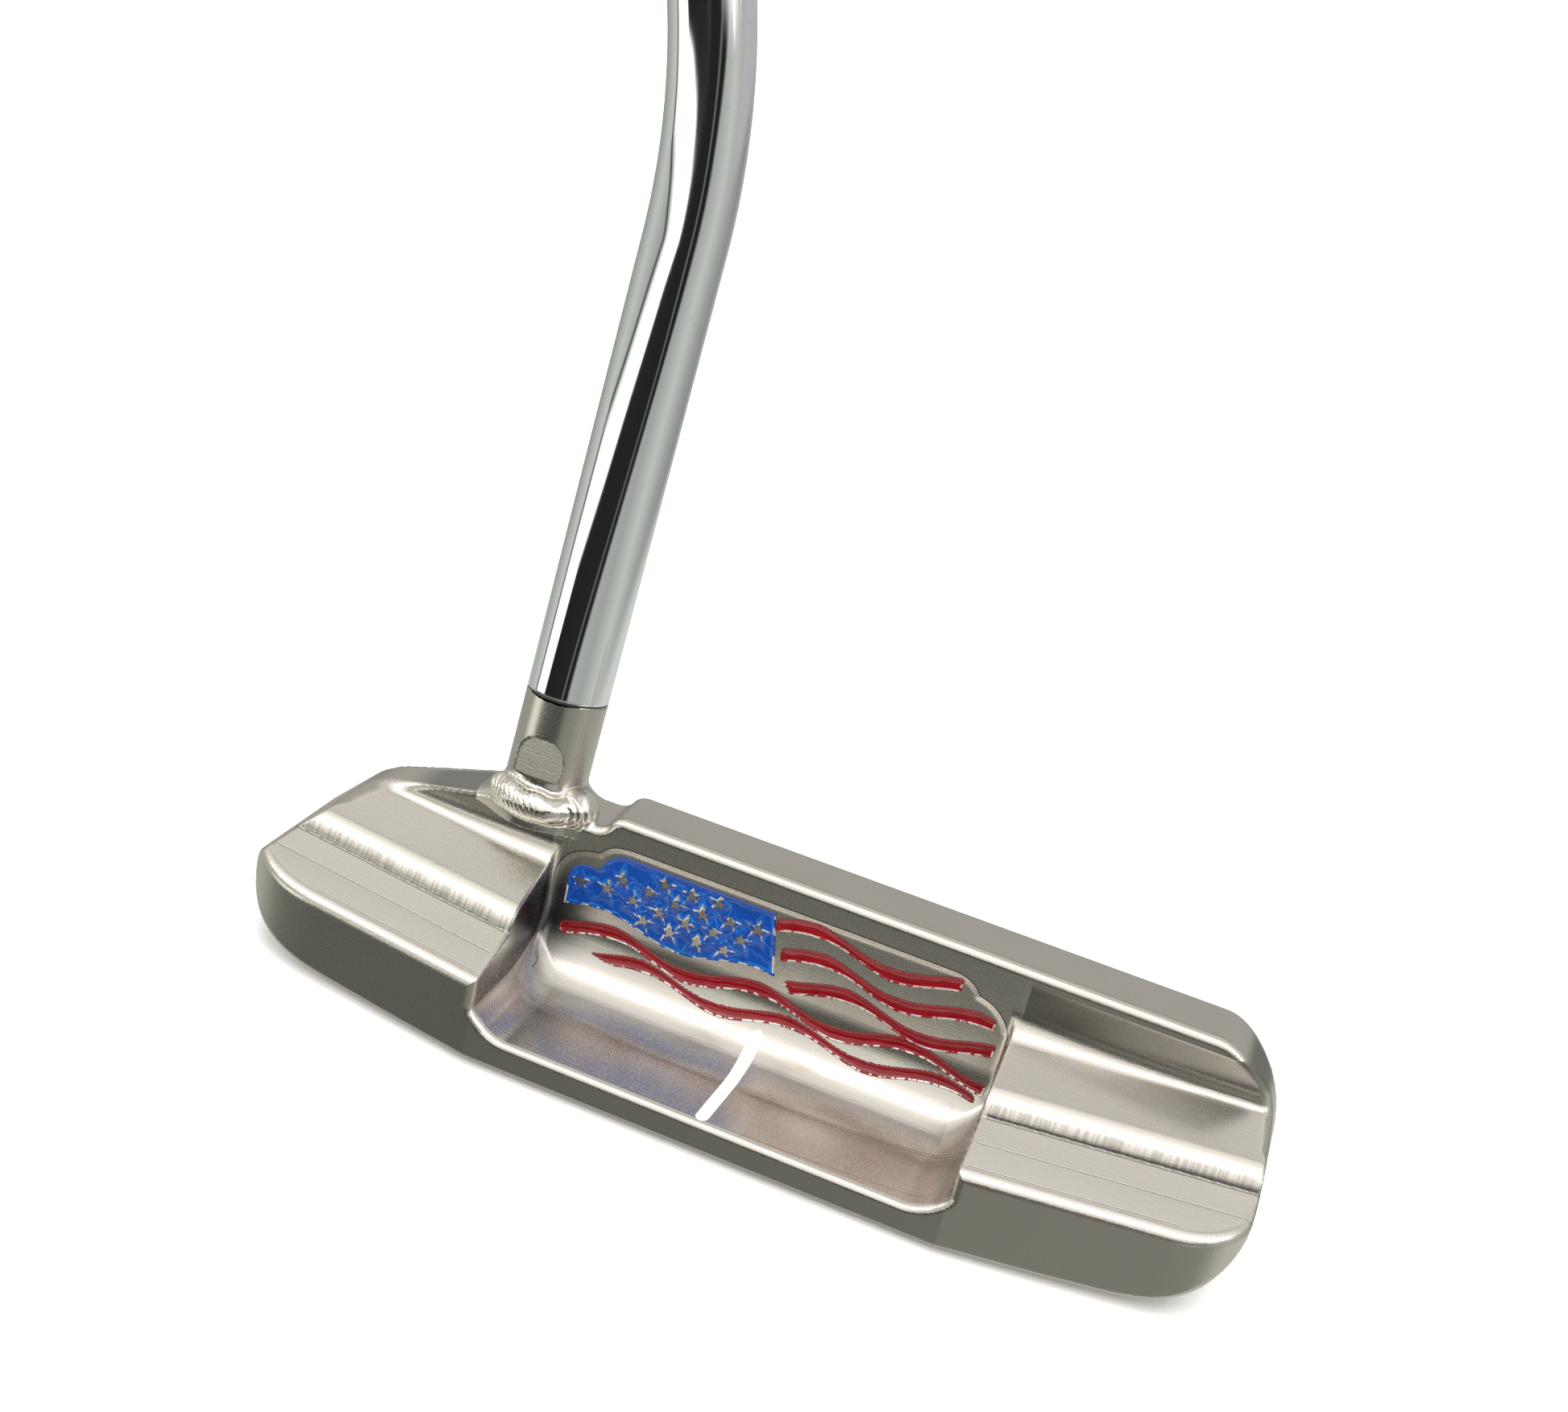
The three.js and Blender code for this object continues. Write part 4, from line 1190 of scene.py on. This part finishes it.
class PUTTER_OT_grip(bpy.types.Operator):
    """Builds the rubber grip with its thumb flat, its moulded ribs and its end cap."""
    bl_idname = "putter.grip"
    bl_label = "Grip"

    def execute(self, context):
        sizes = context.scene.putter_grip
        rgb = tuple(context.scene.putter_finishes.rubber)
        rubber = matt("moulded rubber", rgb, 0.72, 2.5, 0.05)
        start = CLUB_LENGTH - GRIP_LENGTH
        span = GRIP_LENGTH - 3
        inner = 8.21
        profile = [(inner, start), (9.2, start), (9.55, start + 0.4)]
        profile += [(grip_radius(t), start + 0.8 + t * (span - 0.8)) for t in np.linspace(0, 1, 60)]
        profile += [(inner, start + span)]
        points, faces = turned(profile, 72, thumb_flat)
        made = piece("rubber_grip", points, faces, rubber, ["grip"])
        sharpen(made, 35)
        spots, turns = [], []
        for side in (-1, 1):
            for t in np.linspace(0.12, 0.9, sizes.ribs):
                point, heading = axis_at(start + t * span)
                turn = Vector((0, 0, 1)).rotation_difference(Vector(heading))
                angle = math.pi * (0.5 * side)
                around = Matrix.Rotation(angle, 3, "Z")
                whole = turn.to_matrix() @ around
                out = whole @ Vector((1, 0, 0))
                spots.append((Vector(point) + out * grip_radius(t)) * MM)
                turns.append(whole.to_euler())
        mesh = bpy.data.meshes.new("rib places")
        mesh.from_pydata(spots, [], [])
        turned_by = mesh.attributes.new("turn", "FLOAT_VECTOR", "POINT")
        for spot, value in zip(turned_by.data, turns):
            spot.vector = value
        ribs = bpy.data.objects.new("grip_ribs", mesh)
        context.scene.collection.objects.link(ribs)
        grow(ribs, rib_tree("ribs along the grip"), {
            "Rib height": 2 * sizes.rib_height, "Rib length": 9.0 * MM, "Rib width": 1.5 * MM,
            "Rubber": rubber})
        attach(ribs, "root")
        c = CLUB_LENGTH
        points, faces = turned([(0.6, c - 2.7), (11.75, c - 2.7), (11.9, c - 2.0), (11.6, c - 0.9),
                                (10.8, c - 0.25), (9.6, c), (3.2, c), (3.0, c - 0.5),
                                (0.6, c - 0.5)], 72)
        cap = piece("grip_cap", points, faces, rubber, ["grip_cap"])
        sharpen(cap, 35)
        return {"FINISHED"}


# ---- stage --------------------------------------------------------------------------
def studio_world(scene):
    """A soft studio: bright overhead, grey beyond, dim behind and below the viewer."""
    world = bpy.data.worlds.new("soft studio")
    world.use_nodes = True
    sheet = Sheet(world.node_tree)
    x, y, z = sheet.parts(sheet.node("ShaderNodeTexCoord", out="Generated"))
    arc = z.math("ARCTAN2", y) * (1 / DEG)
    sky = sheet.ramp(arc, 0.0, 180.0, (0, 0.5), (23, 0.52), (45, 0.5), (58, 0.55), (66, 0.85),
                     (72, 1.45), (76, 1.1), (80, 0.45), (88, 0.45), (94, 1.35), (118, 1.4),
                     (122, 4.0), (130, 4.0), (134, 1.4), (152, 1.4), (162, 1.1), (180, 0.25))
    turn = x.math("ARCTAN2", y * -1.0) * (1 / DEG)
    edge = sheet.ramp(z, -0.2, 0.4, (-0.15, 0.04), (-0.07, 0.08), (0, 0.22), (0.05, 0.31),
                      (0.12, 0.46), (0.17, 0.64), (0.3, 0.66)) * 100.0 - 50.0
    past = turn - edge
    right = turn - z.rise(-0.1, 0.08) * 29.0 - z.rise(0.15, 0.3) * 12.0
    streak = (1.0 - abs(right - 6.0).rise(1.5, 3.0)) * 0.12
    white = past.rise(-30.0, -22.0) * (1.0 - past.rise(-2.0, 1.0))
    black = past.rise(-2.0, 2.0) * (1.0 - right.rise(16.0, 24.0))
    strip = past.rise(-34.0, -32.0) * (1.0 - past.rise(-31.0, -29.0))
    grey = sheet.ramp(abs(turn), 0.0, 180.0, (0, 0.5), (50, 0.42), (85, 0.62), (120, 0.4),
                      (150, 0.3), (180, 0.5))
    cards = (grey + white * 1.2) * (1.0 - black * 0.96) * (1.0 - strip * 0.9) + black * streak
    dim = 0.14 + turn.rise(-40.0, 30.0) * 0.16 + abs(turn + 5.0).rise(60.0, 100.0) * 0.4
    depth = z.rise(-0.38, -0.28)
    low = dim * (1.0 - depth) + cards * depth
    beyond = abs(turn).rise(95.0, 115.0)
    blend = z.rise(0.24, 0.38) * (1.0 - beyond) + z.rise(-0.05, 0.05) * beyond
    level = sky * blend + low * (1.0 - blend)
    cool = sheet.mix(arc.rise(26.0, 50.0), (1.0, 0.985, 0.95), (0.985, 1.0, 0.925))
    warm = sheet.mix(arc.rise(64.0, 72.0), cool, (1.0, 0.965, 0.94))
    warm = sheet.mix(blend, (0.985, 1.0, 0.9), warm)
    glow = sheet.node("ShaderNodeBackground", {}, {"Color": warm, "Strength": level})
    sheet.node("ShaderNodeOutputWorld", {}, {"Surface": glow}, out=())
    scene.world = world


# The floor's rings as (radius, height) in shares of its half width; its middle lies just below 0
FLOOR_DROP = -0.0006
FLOOR_RINGS = ((0.5, FLOOR_DROP), (0.7, 0.01), (0.85, 0.04), (0.95, 0.09), (1.0, 0.18))
CAMERA_AT = Vector((39.49, -181.53, 128.21)) * MM
CAMERA_RIGHT = Vector((0.9223, 0.3205, 0.2161))
CAMERA_AHEAD = Vector((-0.2164, 0.8912, -0.3986))


class PUTTER_OT_stage(bpy.types.Operator):
    """Sets the pale floor, the soft studio light and the camera."""
    bl_idname = "putter.stage"
    bl_label = "Stage"

    def execute(self, context):
        scene = context.scene
        sizes = scene.putter_stage
        half = sizes.floor
        mesh = bpy.data.meshes.new("pale_floor")
        count = 64
        spots = [(half * r * math.cos(2 * math.pi * i / count),
                  half * r * math.sin(2 * math.pi * i / count), h if h < 0 else h * half)
                 for r, h in FLOOR_RINGS for i in range(count)]
        faces = [tuple(range(count))]
        for k in range(len(FLOOR_RINGS) - 1):
            for i in range(count):
                j = (i + 1) % count
                faces.append((k * count + i, k * count + j,
                              (k + 1) * count + j, (k + 1) * count + i))
        mesh.from_pydata(spots, [], faces)
        floor = bpy.data.objects.new("pale_floor", mesh)
        scene.collection.objects.link(floor)
        made, sheet = material("pale_floor")
        place, _ = sheet.place()
        cloud = sheet.noise(place, 0.002, 2.0)
        pale = sheet.mix(cloud, (0.93, 0.93, 0.93), (0.95, 0.95, 0.95))
        sheet.surface(Base_Color=pale, Roughness=0.9, Specular_IOR_Level=0.0)
        mesh.materials.append(made)
        floor.visible_glossy = False
        studio_world(scene)
        lamp = bpy.data.lights.new("wide soft lamp", "SUN")
        lamp.energy = 2.6
        lamp.angle = 70 * DEG
        light = bpy.data.objects.new("wide soft lamp", lamp)
        light.visible_glossy = False
        light.rotation_euler = (-12 * DEG, 8 * DEG, 0)
        scene.collection.objects.link(light)
        lens = bpy.data.cameras.new("view from the rear")
        lens.sensor_width = 36.0
        lens.lens = sizes.focal
        lens.clip_start = 0.01
        lens.clip_end = 60.0
        camera = bpy.data.objects.new("view from the rear", lens)
        right, ahead = CAMERA_RIGHT.normalized(), CAMERA_AHEAD.normalized()
        up = right.cross(ahead)
        right = ahead.cross(up)
        turn = Matrix((right, up, -ahead)).transposed().to_4x4()
        camera.matrix_world = Matrix.Translation(CAMERA_AT) @ turn
        scene.collection.objects.link(camera)
        scene.camera = camera
        scene.view_settings.view_transform = "Standard"
        return {"FINISHED"}


# ---- panel and start ----------------------------------------------------------------
STEPS = ("head", "flag", "sight", "neck", "joint", "shaft", "grip", "stage")
GROUPS = {
    "putter_head": HeadSizes, "putter_flag": FlagSizes, "putter_shaft": ShaftSizes,
    "putter_grip": GripSizes, "putter_finishes": Finishes, "putter_stage": StageSizes,
}


class PUTTER_PT_panel(bpy.types.Panel):
    """Lists the putter's sizes, colours and steps."""
    bl_idname = "PUTTER_PT_panel"
    bl_label = "Blade Putter"
    bl_space_type = "VIEW_3D"
    bl_region_type = "UI"
    bl_category = "Putter"

    def draw(self, context):
        for name, group in GROUPS.items():
            box = self.layout.box()
            box.label(text=name.split("_")[1].capitalize())
            for key in group.__annotations__:
                box.prop(getattr(context.scene, name), key)
        for step in STEPS:
            self.layout.operator("putter." + step)


CLASSES = (*GROUPS.values(), PUTTER_OT_head, PUTTER_OT_flag, PUTTER_OT_sight, PUTTER_OT_neck,
           PUTTER_OT_joint, PUTTER_OT_shaft, PUTTER_OT_grip, PUTTER_OT_stage, PUTTER_PT_panel)


def register():
    for cls in CLASSES:
        bpy.utils.register_class(cls)
    for name, group in GROUPS.items():
        setattr(bpy.types.Scene, name, PointerProperty(type=group))


def unregister():
    for name in GROUPS:
        delattr(bpy.types.Scene, name)
    for cls in reversed(CLASSES):
        bpy.utils.unregister_class(cls)


def main():
    register()
    for step in STEPS:
        getattr(bpy.ops.putter, step)()


if __name__ == "__main__":
    main()
